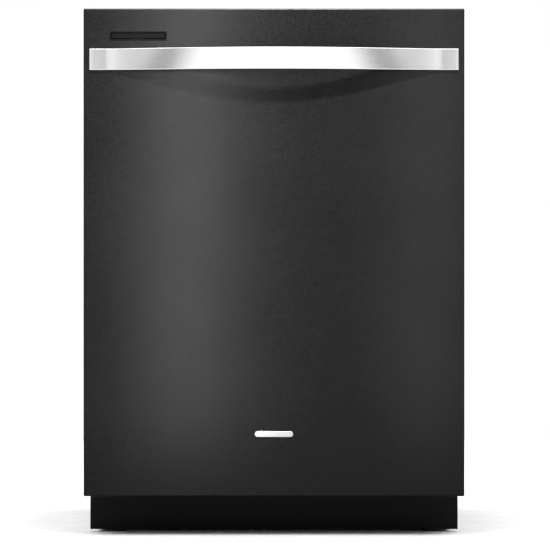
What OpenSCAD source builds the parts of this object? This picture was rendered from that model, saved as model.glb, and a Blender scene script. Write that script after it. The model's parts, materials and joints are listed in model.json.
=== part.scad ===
// Built in dishwasher, 24 inch class: front faces -Y, +X is right, +Z is up.
// Origin: middle of the footprint, at floor level.

/* [Overall] */
// Width of the door
door_w = 606; // [560:1:740]
// Height from the floor to the top of the door
unit_h = 838; // [790:1:1010]
// Depth from the door face to the back
body_depth = 622; // [560:1:760]
// Height of the door's lower edge above the floor
toe_h = 62; // [58:1:80]

/* [Door] */
// Thickness of the door
door_t = 50; // [46:1:62]
// Sheet thickness of the outer panel and the liner
skin_t = 1.5; // [1:0.1:2]
// Hinge axis behind the door face
hinge_setback = 30; // [28:1:34]
// Hinge axis above the door's lower edge
hinge_rise = 28; // [24:1:34]
// Height of the control console in the door's top edge
console_h = 26; // [22:1:32]
// Sound pad thickness
pad_t = 10; // [4:1:12]

/* [Handle] */
// Length of the bar
bar_len = 588; // [400:1:590]
// Height of the bar
bar_h = 34; // [24:1:42]
// Thickness of the bar
bar_t = 4; // [3:0.5:6]
// Clear depth behind the bar's lower edge at its middle
bow_out = 30; // [20:1:40]
// How much further out the bar's upper edge leans
bar_lean = 11; // [0:1:14]
// Flat length at each end of the bar
bar_pad = 32; // [24:1:48]
// Top of the bar below the top of the door
bar_drop = 64; // [60:1:120]

/* [Vent] */
// Width of the vent
vent_w = 91; // [70:1:120]
// Height of the vent
vent_h = 14.4; // [12:0.2:20]
// Middle of the vent left of the door's middle line
vent_x = 216; // [160:1:220]
// Middle of the vent below the top of the door
vent_drop = 43.5; // [42:0.5:48]

/* [Kick plate] */
// Width of the kick plate
kick_w = 593; // [500:1:600]
// Kick plate behind the door face
kick_setback = 74; // [70:1:100]
// Gap between the floor and the kick plate
kick_gap = 4; // [2:1:12]

/* [Tub] */
// Tub wall inside the door's side edge
tub_side_gap = 15; // [14:1:24]
// Tub top below the top of the door
tub_top_gap = 14; // [13.5:0.5:24]
// Sheet thickness of the tub
tub_wall = 1.2; // [0.8:0.1:2]
// Gap between door and tub, filled by the seal
seal_gap = 6; // [5:0.5:9]
// Width of the ledge for the lower rack's wheels
ledge_w = 40; // [36:1:46]
// Height of that ledge above the tub floor
ledge_h = 40; // [34:1:44]
// Insulation thickness
wrap_t = 10; // [6:1:10]

/* [Base] */
// Height of the feet below the base
foot_h = 14; // [14:1:18]
// Height of the base frame
base_h = 96; // [96:1:104]
// Wall thickness of the base frame
base_wall = 4; // [3:0.5:5]
// Radius of the threaded leg
leg_r = 5; // [4:0.5:6]
// Radius of the leg's foot
foot_r = 20; // [16:1:22]

/* [Racks and arms] */
// Wire thickness of the racks
wire = 4; // [3:0.5:5]
// Mesh pitch of the racks, about
pitch = 50; // [40:1:60]
// Height of the lower rack's walls
low_h = 150; // [110:1:160]
// Height of the upper rack's walls
up_h = 140; // [100:1:150]
// Radius of the lower rack's wheels
wheel_r = 20; // [16:1:20]
// Width of a wheel
wheel_w = 14; // [10:1:16]
// Half length of the lower spray arm
low_arm = 240; // [180:1:242]
// Half length of the middle spray arm
mid_arm = 220; // [180:1:240]

/* [Fits] */
// Radial clearance of a pin that turns
run_fit = 0.06; // [0.03:0.01:0.1]
// Gap between pieces that pass each other
gap = 0.4; // [0.3:0.05:1]
// Radius of the hinge pins
pin_r = 4; // [3:0.5:6]
// Radius of the counter screw holes
screw_hole_r = 2.5; // [2:0.1:3]
// Radius of the water inlet thread
inlet_r = 8.5; // [8:0.1:9]
// Radius of the drain hose barb
drain_r = 10; // [8:0.5:12]
// Radius of the cable knock-out
knockout_r = 11.1; // [9:0.1:12]

/* [Hidden] */
$fn = 48;

// Depth stations, front to back
bar_proud = bow_out + bar_lean + bar_t;
face_y = (bar_proud - body_depth) / 2;
back_y = face_y + body_depth;
hinge_y = face_y + hinge_setback;
hinge_z = toe_h + hinge_rise;
inner_y = face_y + door_t;
tub_y0 = inner_y + seal_gap;
wrap_gap = 2;
hose_bay = 33;
tub_y1 = back_y - wrap_t - wrap_gap;
cav_y1 = tub_y1 - tub_wall;
tub_cy = (tub_y0 + cav_y1) / 2;
kick_y = face_y + kick_setback;
base_y1 = back_y - hose_bay;

// Widths
door_x = door_w / 2;
tub_x = door_x - tub_side_gap;
cav_x = tub_x - tub_wall;
low_x = cav_x - ledge_w;
flange = 12;

// Heights
base_z1 = foot_h + base_h;
floor_z = base_z1 + tub_wall;
ledge_z = base_z1 + ledge_h;
tub_z1 = unit_h - tub_top_gap;
cav_z1 = tub_z1 - tub_wall;
console_z = unit_h - console_h;
console_top = unit_h - 1.5;
liner_z = hinge_z + 12;

// Door interior
skin_y = face_y + skin_t;
liner_y = face_y + hinge_setback;
bottom_flange = 20;
top_flange = 8;

// Handle
bar_z = unit_h - bar_drop - bar_h;
bow_half = bar_len / 2 - bar_pad;
bow_power = 1.2;
bar_steps = 48;
stud_x = bar_len / 2 - bar_pad / 2;
stud_r = 4;

// Hinges: the bracket stands on the base, the arm is inside the door
bracket_t = 3;
bracket_x = tub_x - base_wall - bracket_t;
arm_t = 3;
arm_x = bracket_x - 3 - arm_t;
bracket_r = 9;
bracket_len = 70;
bracket_back = 20;
bracket_foot = 46;
arm_up = 210;

// Springs: closed coil
coil_turns = 30;
coil_r = 8;
coil_step = 6;
coil_groove = 2;
coil_setback = 130;
coil_inset = 14;

// Counter brackets
tab_w = 40;
tab_len = 50;
tab_t = 1.5;
tab_inset = 28;
tab_hole = 18;
tab_pitch = 20;

// Vent
vent_z = unit_h - vent_drop;
vent_lip = 1.2;
vent_frame = 2.2;
slat_gap = 1.2;

// Water parts in the tub floor
sump_x = 55;
sump_y = tub_cy + 40;
sump_r = 100;
sump_flange = 10;
sump_z = foot_h + 48;
plate_z = floor_z + 2;
hub_r = 12;
hub_z = floor_z + 46;
low_arm_z = floor_z + 39;
cup_x = sump_x + 40;
cup_y = sump_y + 45;
cup_r = 32;
ring_r = 200;
ring_t = 4.5;
ring_z = floor_z + 17;
terminal_r = 6;
terminal_x = 20;
float_x = -150;
float_y = tub_y0 + 70;
float_r = 22;
float_stem_r = 5;
pump_x = -140;
pump_y = 50;
pump_z = foot_h + 50;
drain_pump_z = foot_h + 61;
pipe_r = 14;
pipe_wall = 4;
sump_wall = 3;
socket_len = 12;
feed_pipe_y = pump_y + 10;
feed_pipe_z = sump_z + 22;
motor_r = 36;
motor_len = 80;
pump_head_r = 44;
pump_head_len = 26;
drain_motor_r = 28;
drain_motor_len = 75;
drain_head_r = 20;
drain_head_len = 20;

// Connections in the base
drain_inset = 70;
drain_rise = 60;
valve_inset = 88;
valve_setback = 50;
valve_rise = 30;
valve_w = 32;
valve_h = 28;
valve_neck = 18;
coil_len = 32;
coil_body_r = 13;
box_w = 56;
box_d = 50;
box_h = 52;
box_wall = 1.5;

// Racks
rack_front = inner_y + 30;
rack_back = cav_y1 - 42;
low_z = ledge_z + 30;
low_rx = low_x - 1;
wheel_z = ledge_z + wheel_r;
axle_r = 4;
wheel_ys = [rack_front + 45, rack_back - 55];
up_z = floor_z + 389;
up_rx = cav_x - 30;
rail_w = 12;
rail_h = 30;
rail_z = up_z + 60;
slide_h = 18;
mid_arm_z = up_z - 35;
tine_h = 90;
basket_d = 68;
basket_h = 125;
basket_x = 215;
shelf_z = up_z + 90;
shelf_w = 95;
shelf_len = 300;
shelf_rod = 2.5;
shelf_x = -up_rx + wire + 7;

// Feed tube on the back wall
feed_w = 34;
feed_d = 16;
feed_y = cav_y1 - 2 - feed_d;
feed_z1 = cav_z1 - 9;
dock_z = up_z - 12;
dock_r = 10;
top_arm_z = feed_z1 - 37;
top_arm = 110;
top_post_r = 8;

// Latch
claw_z = console_z - 6;
claw_pin_r = 2;
claw_y = inner_y - 10;

// Dispenser
disp_w = 190;
disp_h = 120;
disp_z = hinge_z + 260;
disp_proud = 6;
cell_w = 76;
cell_h = 84;
cell_x = -disp_w / 2 + 12;
lid_t = 3;
cap_r = 18;
cap_x = 52;
cap_stem_r = 8;

button_xs = [-150, -110, -70, 110];
button_w = 24;
button_d = 11;
button_y = inner_y - 24;
button_rise = 1.2;
window_x = 20;
window_w = 90;
window_d = 16;

leg_xs = [-(tub_x - 30), tub_x - 30];
leg_ys = [kick_y + foot_r + 10, base_y1 - 26];

BUTTONS = ["power_button", "cycle_button", "options_button", "start_button"];
LEGS = ["leg_front_left", "leg_front_right", "leg_back_left", "leg_back_right"];
WHEELS = ["wheel_front_left", "wheel_front_right", "wheel_back_left", "wheel_back_right"];

// Box between two corners
module span(a, b) {
    translate(a) cube(b - a);
}

// Cylinder along X from x0 to x1
module rod_x(x0, x1, r, y, z) {
    translate([x0, y, z]) rotate([0, 90, 0]) cylinder(h = x1 - x0, r = r);
}

// Cylinder along Y from y0 to y1
module rod_y(y0, y1, r, x, z) {
    translate([x, y0, z]) rotate([-90, 0, 0]) cylinder(h = y1 - y0, r = r);
}

// Cylinder along Z from z0 to z1
module rod_z(z0, z1, r, x, y) {
    translate([x, y, z0]) cylinder(h = z1 - z0, r = r);
}

// The same shape on the left and on the right
module both_sides() {
    children();
    mirror([1, 0, 0]) children();
}

// Outline in the YZ plane, extruded from x0 to x1
module slab_x(x0, x1) {
    translate([x0, 0, 0]) rotate([90, 0, 90]) linear_extrude(x1 - x0) children();
}

// Flat wire lattice in the XY plane, w by h, with whole cells near the pitch
module lattice(w, h) {
    nx = floor(w / pitch);
    ny = floor(h / pitch);
    cx = (w - wire) / nx;
    cy = (h - wire) / ny;
    linear_extrude(wire) difference() {
        square([w, h]);
        for (i = [0 : nx - 1], j = [0 : ny - 1])
            translate([wire + i * cx, wire + j * cy]) square([cx - wire, cy - wire]);
    }
}

// Open wire basket: floor and four walls
module wire_basket(rx, y0, y1, z, h) {
    translate([-rx, y0, z]) lattice(2 * rx, y1 - y0);
    translate([-rx, y0 + wire, z]) rotate([90, 0, 0]) lattice(2 * rx, h);
    translate([-rx, y1, z]) rotate([90, 0, 0]) lattice(2 * rx, h);
    translate([-rx, y0, z]) rotate([90, 0, 90]) lattice(y1 - y0, h);
    translate([rx - wire, y0, z]) rotate([90, 0, 90]) lattice(y1 - y0, h);
}

// ---- Cabinet ----

// Tub section seen from the front, inset by d
module tub_section(d) {
    polygon([
        [-low_x - tub_wall + d, base_z1 + d], [low_x + tub_wall - d, base_z1 + d],
        [low_x + tub_wall - d, ledge_z - tub_wall + d], [tub_x - d, ledge_z - tub_wall + d],
        [tub_x - d, tub_z1 - d], [-tub_x + d, tub_z1 - d],
        [-tub_x + d, ledge_z - tub_wall + d], [-low_x - tub_wall + d, ledge_z - tub_wall + d]]);
}

module tub() {
    color("silver") difference() {
        union() {
            translate([0, tub_y1, 0]) rotate([90, 0, 0])
                linear_extrude(tub_y1 - tub_y0) tub_section(0);
            span([-tub_x - flange, tub_y0, base_z1 - 10],
                 [tub_x + flange, tub_y0 + tub_wall, tub_z1 + 10]);
        }
        translate([0, cav_y1, 0]) rotate([90, 0, 0])
            linear_extrude(cav_y1 - tub_y0 + 1) tub_section(tub_wall);
        rod_z(base_z1 - 1, floor_z + 1, sump_r + 1, sump_x, sump_y);
        for (s = [-1, 1])
            rod_z(base_z1 - 1, floor_z + 1, terminal_r, s * terminal_x, tub_cy + ring_r);
        rod_z(base_z1 - 1, floor_z + 1, float_stem_r + run_fit, float_x, float_y);
        for (s = [-1, 1])
            span([s > 0 ? bracket_x - 2 : -tub_x, tub_y0 - 1, base_z1 - 11],
                 [s > 0 ? tub_x : -bracket_x + 2, tub_y0 + 2, hinge_z + bracket_r + 2]);
    }
}

module insulation_wrap() {
    out_x = tub_x + wrap_gap + wrap_t;
    color("dimgray") difference() {
        span([-out_x, tub_y0 + flange, ledge_z], [out_x, back_y, tub_z1 + wrap_gap + wrap_t]);
        span([-tub_x - wrap_gap, tub_y0, ledge_z - 1],
             [tub_x + wrap_gap, tub_y1 + wrap_gap, tub_z1 + wrap_gap]);
    }
}

module base_frame() {
    y0 = kick_y + skin_t;
    rail_z1 = foot_h + base_wall;
    color([0.16, 0.16, 0.17]) difference() {
        union() {
            span([-bracket_x + 4, y0, foot_h], [bracket_x - 4, y0 + base_wall, base_z1 - 12]);
            span([-tub_x, base_y1 - base_wall, foot_h], [tub_x, base_y1, base_z1]);
            both_sides()
                span([tub_x - base_wall, y0 + base_wall + 2, foot_h],
                     [tub_x, base_y1, ledge_z - tub_wall]);
            both_sides()
                span([bracket_x - 40, y0, foot_h], [tub_x, y0 + 14, hinge_z - bracket_r - 4]);
            for (y = [y0 + 90, base_y1 - 90])
                span([-tub_x, y, foot_h], [tub_x, y + 20, rail_z1]);
            for (x = leg_xs, y = leg_ys)
                rod_z(foot_h, foot_h + 42, leg_r + 9, x, y);
            for (x = leg_xs, y = leg_ys)
                span([x > 0 ? x : -tub_x, y - 3, foot_h], [x > 0 ? tub_x : x, y + 3, foot_h + 40]);
        }
        for (x = leg_xs, y = leg_ys)
            rod_z(foot_h - 1, foot_h + 60, leg_r + run_fit, x, y);
        rod_y(base_y1 - base_wall - 1, base_y1 + 1, drain_r, -tub_x + drain_inset,
              foot_h + drain_rise);
    }
}

module kick_plate() {
    y1 = kick_y + skin_t;
    color([0.08, 0.08, 0.08]) union() {
        span([-kick_w / 2, kick_y, kick_gap], [kick_w / 2, y1, toe_h - 1]);
        span([-kick_w / 2, kick_y, kick_gap], [kick_w / 2, kick_y + 8, kick_gap + skin_t]);
    }
}

module counter_brackets() {
    y0 = tub_y0 + tub_wall;
    z0 = tub_z1 + wrap_gap + wrap_t;
    x0 = tub_x - tab_inset - tab_w;
    x1 = tub_x - tab_inset;
    color("silver") both_sides() difference() {
        union() {
            span([x0, y0, tub_z1 + 1], [x1, y0 + tab_t, z0 + tab_t]);
            span([x0, y0, z0], [x1, y0 + tab_len, z0 + tab_t]);
        }
        for (y = [y0 + tab_hole, y0 + tab_hole + tab_pitch])
            rod_z(z0 - 1, z0 + tab_t + 1, screw_hole_r, (x0 + x1) / 2, y);
    }
}

module hinge_brackets() {
    y_base = kick_y + skin_t + bracket_back;
    y_end = y_base + bracket_len;
    color("gray") both_sides() difference() {
        union() {
            rod_x(bracket_x, bracket_x + bracket_t, bracket_r, hinge_y, hinge_z);
            span([bracket_x, hinge_y, hinge_z - bracket_r],
                 [bracket_x + bracket_t, y_end, hinge_z + bracket_r]);
            span([bracket_x, y_base, foot_h + bracket_foot],
                 [bracket_x + bracket_t, y_end, hinge_z + bracket_r]);
        }
        rod_x(bracket_x - 1, bracket_x + bracket_t + 1, pin_r + run_fit, hinge_y, hinge_z);
    }
}

// Closed coil seen as a grooved tube along Y
module door_springs() {
    valley = coil_r - coil_groove;
    bore = valley - coil_groove;
    color("gray") both_sides()
        translate([bracket_x - coil_inset, kick_y + coil_setback, hinge_z]) rotate([-90, 0, 0])
            rotate_extrude() polygon(concat(
                [[bore, 0]],
                [for (i = [0 : coil_turns - 1])
                    each [[valley, i * coil_step], [coil_r, (i + 0.5) * coil_step]]],
                [[valley, coil_turns * coil_step], [bore, coil_turns * coil_step]]));
}

module door_seal() {
    x1 = tub_x + 9;
    color([0.2, 0.2, 0.2]) difference() {
        span([-x1, inner_y + gap, base_z1 - 7], [x1, tub_y0, tub_z1 + 8]);
        span([-tub_x, inner_y, base_z1 + tub_wall], [tub_x, tub_y0 + 1, tub_z1 - tub_wall]);
    }
}

module strike_plate() {
    y0 = tub_y0 + 12;
    color("gray") union() {
        span([-16, tub_y0 + 4, cav_z1 - 2], [16, y0 + 22, cav_z1]);
        for (s = [-1, 1])
            span([s * 11 - 1.5, y0 - 2, claw_z + 5], [s * 11 + 1.5, y0 + 4, cav_z1 - 2]);
        rod_x(-12, 12, 2, y0 + 1, claw_z + 8);
    }
}

module rack_rails() {
    y0 = tub_y0 + 14;
    color("lightgray") both_sides() difference() {
        span([cav_x - rail_w, y0, rail_z], [cav_x, rack_back, rail_z + rail_h]);
        span([cav_x - rail_w - 1, y0 - 1, rail_z + 3],
             [cav_x - 2, rack_back - 3, rail_z + rail_h - 3]);
    }
}

module feed_tube() {
    hub_y = tub_cy;
    color("whitesmoke") difference() {
        union() {
            span([-feed_w / 2, feed_y, floor_z], [feed_w / 2, cav_y1 - 2, feed_z1]);
            span([-feed_w / 2, feed_y + 4, dock_z + 60], [feed_w / 2, cav_y1, dock_z + 80]);
            span([-feed_w / 2 + 2, hub_y - 16, feed_z1 - 14], [feed_w / 2 - 2, cav_y1 - 2, feed_z1]);
            rod_z(top_arm_z - 6, feed_z1 - 1, top_post_r, 0, hub_y);
            rod_z(top_arm_z - 6, top_arm_z - gap, top_post_r + 4, 0, hub_y);
            rod_z(top_arm_z + 14 + gap, feed_z1 - 1, top_post_r + 4, 0, hub_y);
            rod_y(rack_back + 14, feed_y + 1, dock_r, 0, dock_z);
        }
        rod_y(rack_back + 13, feed_y + 8, dock_r - 3, 0, dock_z);
        rod_z(top_arm_z - 7, feed_z1 - 4, top_post_r - 3, 0, hub_y);
    }
}

module heating_element() {
    color([0.25, 0.24, 0.23]) union() {
        translate([0, tub_cy, ring_z]) rotate_extrude()
            translate([ring_r, 0]) circle(r = ring_t);
        for (s = [-1, 1])
            rod_z(base_z1 - 14, ring_z, terminal_r - 0.5, s * terminal_x, tub_cy + ring_r);
    }
}

module sump() {
    bottom = sump_z + sump_wall;
    bore = pipe_r - pipe_wall;
    x0 = sump_x - sump_r - socket_len;
    y0 = sump_y - sump_r - socket_len;
    color([0.2, 0.2, 0.22]) difference() {
        union() {
            rod_z(sump_z, floor_z, sump_r, sump_x, sump_y);
            rod_z(floor_z, plate_z, sump_r + sump_flange, sump_x, sump_y);
            rod_x(x0, sump_x, pipe_r, feed_pipe_y, feed_pipe_z);
            rod_y(y0, sump_y, pipe_r, sump_x, drain_pump_z);
        }
        rod_z(bottom, plate_z + 1, sump_r - sump_wall, sump_x, sump_y);
        rod_x(x0 - 1, sump_x, bore, feed_pipe_y, feed_pipe_z);
        rod_y(y0 - 1, sump_y, bore, sump_x, drain_pump_z);
    }
    color([0.2, 0.2, 0.22]) difference() {
        union() {
            rod_z(bottom, hub_z, hub_r, 0, tub_cy);
            rod_z(plate_z + 4, low_arm_z - gap, hub_r + 5, 0, tub_cy);
        }
        rod_z(bottom + 7, hub_z - sump_wall, hub_r - sump_wall, 0, tub_cy);
    }
}

module filter_plate() {
    color("silver") difference() {
        rod_z(plate_z, plate_z + 1.5, sump_r + 4, sump_x, sump_y);
        rod_z(plate_z - 1, plate_z + 3, hub_r + 1, 0, tub_cy);
        rod_z(plate_z - 1, plate_z + 3, cup_r + 1, cup_x, cup_y);
    }
}

module filter_cup() {
    z0 = plate_z + 1.5 + gap;
    color("gainsboro") difference() {
        union() {
            rod_z(sump_z + 8, z0 + 4, cup_r, cup_x, cup_y);
            rod_z(z0, z0 + 4, cup_r + 6, cup_x, cup_y);
        }
        rod_z(sump_z + 11, z0 + 5, cup_r - 3, cup_x, cup_y);
    }
    color("gainsboro") union() {
        span([cup_x - cup_r + 1, cup_y - 3, z0 - 6], [cup_x + cup_r - 1, cup_y + 3, z0 + 4]);
        span([cup_x - 12, cup_y - 3, z0 + 4], [cup_x + 12, cup_y + 3, z0 + 18]);
    }
}

module circulation_pump() {
    color([0.3, 0.3, 0.32]) union() {
        rod_y(pump_y - motor_len, pump_y, motor_r, pump_x, pump_z);
        rod_y(pump_y - 5, pump_y + pump_head_len, pump_head_r, pump_x, pump_z);
        rod_x(pump_x + pump_head_r / 2, sump_x - sump_r - socket_len, pipe_r, feed_pipe_y, feed_pipe_z);
    }
}

module drain_pump() {
    y1 = sump_y - sump_r - socket_len;
    color([0.3, 0.3, 0.32]) union() {
        rod_y(y1 - drain_head_len, y1, drain_head_r, sump_x, drain_pump_z);
        rod_y(y1 - drain_motor_len, y1 - drain_head_len + 2, drain_motor_r, sump_x, drain_pump_z);
    }
}

module inlet_valve() {
    x = -tub_x + valve_inset;
    y = kick_y + valve_setback;
    z = foot_h + valve_rise;
    half = valve_w / 2;
    color("white") difference() {
        union() {
            span([x - half, y - half, z], [x + half, y + half, z + valve_h]);
            rod_z(z - valve_neck, z + 1, inlet_r + 4, x, y);
            rod_y(y + half - 1, y + half + coil_len, coil_body_r, x, z + valve_h / 2);
        }
        rod_z(z - valve_neck - 1, z - 2, inlet_r, x, y);
    }
}

module drain_port() {
    x = -tub_x + drain_inset;
    z = foot_h + drain_rise;
    color([0.25, 0.25, 0.26]) union() {
        rod_y(base_y1, base_y1 + 4, drain_r + 6, x, z);
        rod_y(base_y1 - 30, back_y - 2, drain_r, x, z);
    }
}

module junction_box() {
    x0 = tub_x - 100;
    y0 = kick_y + 30;
    z0 = foot_h + 12;
    t = box_wall;
    color("silver") difference() {
        span([x0, y0, z0], [x0 + box_w, y0 + box_d, z0 + box_h]);
        span([x0 + t, y0 + t, z0 + t], [x0 + box_w - t, y0 + box_d - t, z0 + box_h - t]);
        rod_y(y0 + box_d - 2 * t, y0 + box_d + 1, knockout_r, x0 + box_w / 2, z0 + box_h / 2);
    }
}

// A plain float dome on a stem that drops through the tub floor
module float() {
    z0 = floor_z + gap;
    color("whitesmoke") union() {
        rod_z(z0, z0 + 20, float_r, float_x, float_y);
        rod_z(z0 + 19, z0 + 24, float_r - 4, float_x, float_y);
        rod_z(base_z1 - 12, z0 + 1, float_stem_r, float_x, float_y);
    }
}

// Two blades around a hub with a running bore
module spray_arm(z, reach, hub, bore, blade_w, t) {
    color([0.55, 0.57, 0.6]) difference() {
        union() {
            span([-reach + blade_w / 2, tub_cy - blade_w / 2, z],
                 [reach - blade_w / 2, tub_cy + blade_w / 2, z + t]);
            for (s = [-1, 1])
                rod_z(z, z + t, blade_w / 2, s * (reach - blade_w / 2), tub_cy);
            rod_z(z, z + t + 3, hub, 0, tub_cy);
        }
        rod_z(z - 1, z + t + 5, bore + run_fit, 0, tub_cy);
    }
}

module lower_spray_arm() {
    spray_arm(low_arm_z, low_arm, 28, hub_r, 46, 13);
}

module top_spray_arm() {
    spray_arm(top_arm_z, top_arm, 18, top_post_r, 28, 11);
}

module leg(x, y) {
    color("dimgray") union() {
        rod_z(0, 7, foot_r, x, y);
        rod_z(6, foot_h - gap, leg_r + 5, x, y);
        rod_z(6, foot_h + 38, leg_r, x, y);
    }
}

// ---- Door ----

module door_panel() {
    color([0.17, 0.17, 0.18]) difference() {
        span([-door_x, face_y, toe_h], [door_x, liner_y, unit_h]);
        span([-door_x + skin_t, skin_y, toe_h + skin_t],
             [door_x - skin_t, liner_y + 1, unit_h - skin_t]);
        span([-door_x + skin_t, face_y + bottom_flange, toe_h - 1],
             [door_x - skin_t, liner_y + 1, toe_h + 3]);
        span([-door_x + skin_t, face_y + top_flange, unit_h - 3],
             [door_x - skin_t, liner_y + 1, unit_h + 1]);
        span([-vent_x - vent_w / 2 + vent_lip, face_y - 1, vent_z - vent_h / 2 + vent_lip],
             [-vent_x + vent_w / 2 - vent_lip, skin_y + 1, vent_z + vent_h / 2 - vent_lip]);
        for (s = [-1, 1])
            rod_y(face_y - 1, skin_y + 1, stud_r, s * stud_x, bar_z + bar_h / 2);
    }
}

module door_liner() {
    color("silver") difference() {
        span([-door_x, liner_y, liner_z], [door_x, inner_y, console_z]);
        span([-door_x + skin_t, liner_y - 1, liner_z + skin_t],
             [door_x - skin_t, inner_y - skin_t, console_z + 1]);
        span([-disp_w / 2, liner_y, disp_z], [disp_w / 2, inner_y + 1, disp_z + disp_h]);
        span([-20, liner_y, claw_z - 9], [20, inner_y + 1, console_z + 1]);
        span([-vent_x - vent_w / 2 + 6, liner_y, vent_z - vent_h / 2 - 28],
             [-vent_x + vent_w / 2 - 6, inner_y + 1, vent_z - vent_h / 2 - 16]);
        span([-door_x - 1, liner_y - 1, liner_z - 1],
             [-door_x + skin_t + 1, inner_y - skin_t, liner_z + 3]);
        span([door_x - skin_t - 1, liner_y - 1, liner_z - 1],
             [door_x + 1, inner_y - skin_t, liner_z + 3]);
    }
}

module door_pad() {
    color([0.12, 0.12, 0.12])
        span([-arm_x + 6, skin_y, toe_h + 20], [arm_x - 6, skin_y + pad_t, bar_z - 12]);
}

module hinge_arms() {
    y0 = hinge_y - 22;
    color("gray") both_sides() {
        slab_x(arm_x, arm_x + arm_t) polygon([
            [hinge_y - 7, hinge_z - 7], [hinge_y + 7, hinge_z - 7], [hinge_y + 7, hinge_z],
            [hinge_y - 2, hinge_z + 10],
            [y0 + 18, hinge_z + 20], [y0 + 18, hinge_z + arm_up], [y0, hinge_z + arm_up],
            [y0, hinge_z + 10]]);
        rod_x(arm_x + arm_t, bracket_x + bracket_t + 2, pin_r, hinge_y, hinge_z);
    }
}

module console() {
    y0 = face_y + top_flange + 0.5;
    color([0.1, 0.1, 0.11]) difference() {
        span([-door_x + skin_t, y0, console_z], [door_x - skin_t, inner_y, console_top]);
        span([-door_x + skin_t + 2.5, y0 + 2.5, console_z - 1],
             [door_x - skin_t - 2.5, inner_y - 2.5, console_top - 2.5]);
        for (x = button_xs)
            span([x - button_w / 2 - gap, button_y - gap, console_top - 4],
                 [x + button_w / 2 + gap, button_y + button_d + gap, console_top + 1]);
        span([window_x - window_w / 2, button_y - 3, console_top - 4],
             [window_x + window_w / 2, button_y - 3 + window_d, console_top + 1]);
    }
}

module display_window() {
    color([0.03, 0.03, 0.04])
        span([window_x - window_w / 2, button_y - 3, console_top - 2.5],
             [window_x + window_w / 2, button_y - 3 + window_d, console_top + 0.4]);
}

module button(x) {
    color("dimgray")
        span([x - button_w / 2, button_y, console_top - 6],
             [x + button_w / 2, button_y + button_d, console_top + button_rise]);
}

module latch_body() {
    color([0.15, 0.15, 0.15]) difference() {
        span([-19, liner_y + 2, claw_z - 8], [19, inner_y - gap, console_z - 0.5]);
        span([-7, liner_y + 4, claw_z - 9], [7, inner_y + 1, console_z]);
        rod_x(-20, 20, claw_pin_r, claw_y, claw_z - 2);
    }
}

module latch_claw() {
    color("silver") union() {
        slab_x(-5.5, 5.5) polygon([
            [claw_y - 5, claw_z - 6], [inner_y + 26, claw_z - 6], [inner_y + 26, claw_z + 2],
            [inner_y + 23, claw_z + 2], [inner_y + 21, claw_z - 2], [claw_y - 5, claw_z + 2]]);
        rod_x(-18, 18, claw_pin_r - run_fit, claw_y, claw_z - 2);
    }
}

// Distance of the bar's lower back edge from the door at x
function bow(x) = abs(x) >= bow_half ? 0 : bow_out * pow(cos(90 * x / bow_half), bow_power);

// Section of the bar at x: back face first, chamfered corners
function bar_ring(x) =
    let (s = bow(x), k = bar_lean * s / bow_out, c = 1)
    [for (p = [[0, c], [c, 0], [bar_t - c, 0], [bar_t, c],
               [bar_t, bar_h - c], [bar_t - c, bar_h], [c, bar_h], [0, bar_h - c]])
        [x, face_y - s - p[0] - k * p[1] / (bar_h - c), bar_z + p[1]]];

module handle_bar() {
    n = 8;
    xs = concat([-bar_len / 2], [for (i = [0 : bar_steps]) bow_half * (2 * i / bar_steps - 1)],
                [bar_len / 2]);
    m = len(xs);
    pts = [for (x = xs) each bar_ring(x)];
    sides = [for (i = [0 : m - 2], j = [0 : n - 1])
        [i * n + j, i * n + (j + 1) % n, (i + 1) * n + (j + 1) % n, (i + 1) * n + j]];
    ends = [[for (j = [0 : n - 1]) n - 1 - j], [for (j = [0 : n - 1]) (m - 1) * n + j]];
    color("gainsboro") polyhedron(points = pts, faces = concat(ends, sides));
}

module handle_studs() {
    color("gray") both_sides() {
        rod_y(face_y, skin_y + 8, stud_r - 0.05, stud_x, bar_z + bar_h / 2);
        rod_y(skin_y, skin_y + 5, stud_r + 3, stud_x, bar_z + bar_h / 2);
    }
}

module vent_bezel() {
    w = vent_w / 2;
    h = vent_h / 2;
    lip = 0.8;
    in_w = w - vent_frame;
    in_h = h - vent_frame;
    color([0.1, 0.1, 0.1]) translate([-vent_x, 0, vent_z]) union() {
        difference() {
            union() {
                span([-w, face_y - lip, -h], [w, face_y, h]);
                span([-w + vent_lip + gap / 2, face_y - lip, -h + vent_lip + gap / 2],
                     [w - vent_lip - gap / 2, face_y + 6, h - vent_lip - gap / 2]);
            }
            span([-in_w, face_y - 2, -in_h], [in_w, face_y + 7, in_h]);
        }
        span([-in_w + slat_gap, face_y, -in_h + slat_gap],
             [in_w - slat_gap, face_y + 2, in_h - slat_gap]);
        span([-9, face_y + 0.5, -in_h - 0.5], [9, face_y + 2, in_h + 0.5]);
    }
}

// Rectangular duct from the bezel down and back to the liner
module vent_duct() {
    w = vent_w / 2 - 2;
    h = vent_h / 2;
    y0 = face_y + 6;
    y1 = inner_y - skin_t;
    color([0.2, 0.2, 0.2]) translate([-vent_x, 0, vent_z]) difference() {
        union() {
            span([-w, y0, -h + 1], [w, y0 + 14, h - 1]);
            span([-w, y0, -h - 30], [w, y0 + 14, h - 1]);
            span([-w, y0, -h - 30], [w, y1, -h - 14]);
        }
        span([-w + 2, y0 - 1, -h + 3], [w - 2, y0 + 12, h - 3]);
        span([-w + 2, y0 + 2, -h - 28], [w - 2, y0 + 12, h - 3]);
        span([-w + 2, y0 + 2, -h - 28], [w - 2, y1 + 1, -h - 16]);
        rod_x(-w - 1, w + 1, 1.5, y0 + 20, -h - 22);
    }
}

module vent_flap() {
    w = vent_w / 2 - 4;
    y = face_y + 26;
    color("gray") translate([-vent_x, 0, vent_z - vent_h / 2 - 22]) union() {
        rod_x(-w - 1.8, w + 1.8, 1.5 - run_fit, y, 0);
        span([-w + gap, y - 0.6, -5.5], [w - gap, y + 0.6, 5.5]);
    }
}

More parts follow.
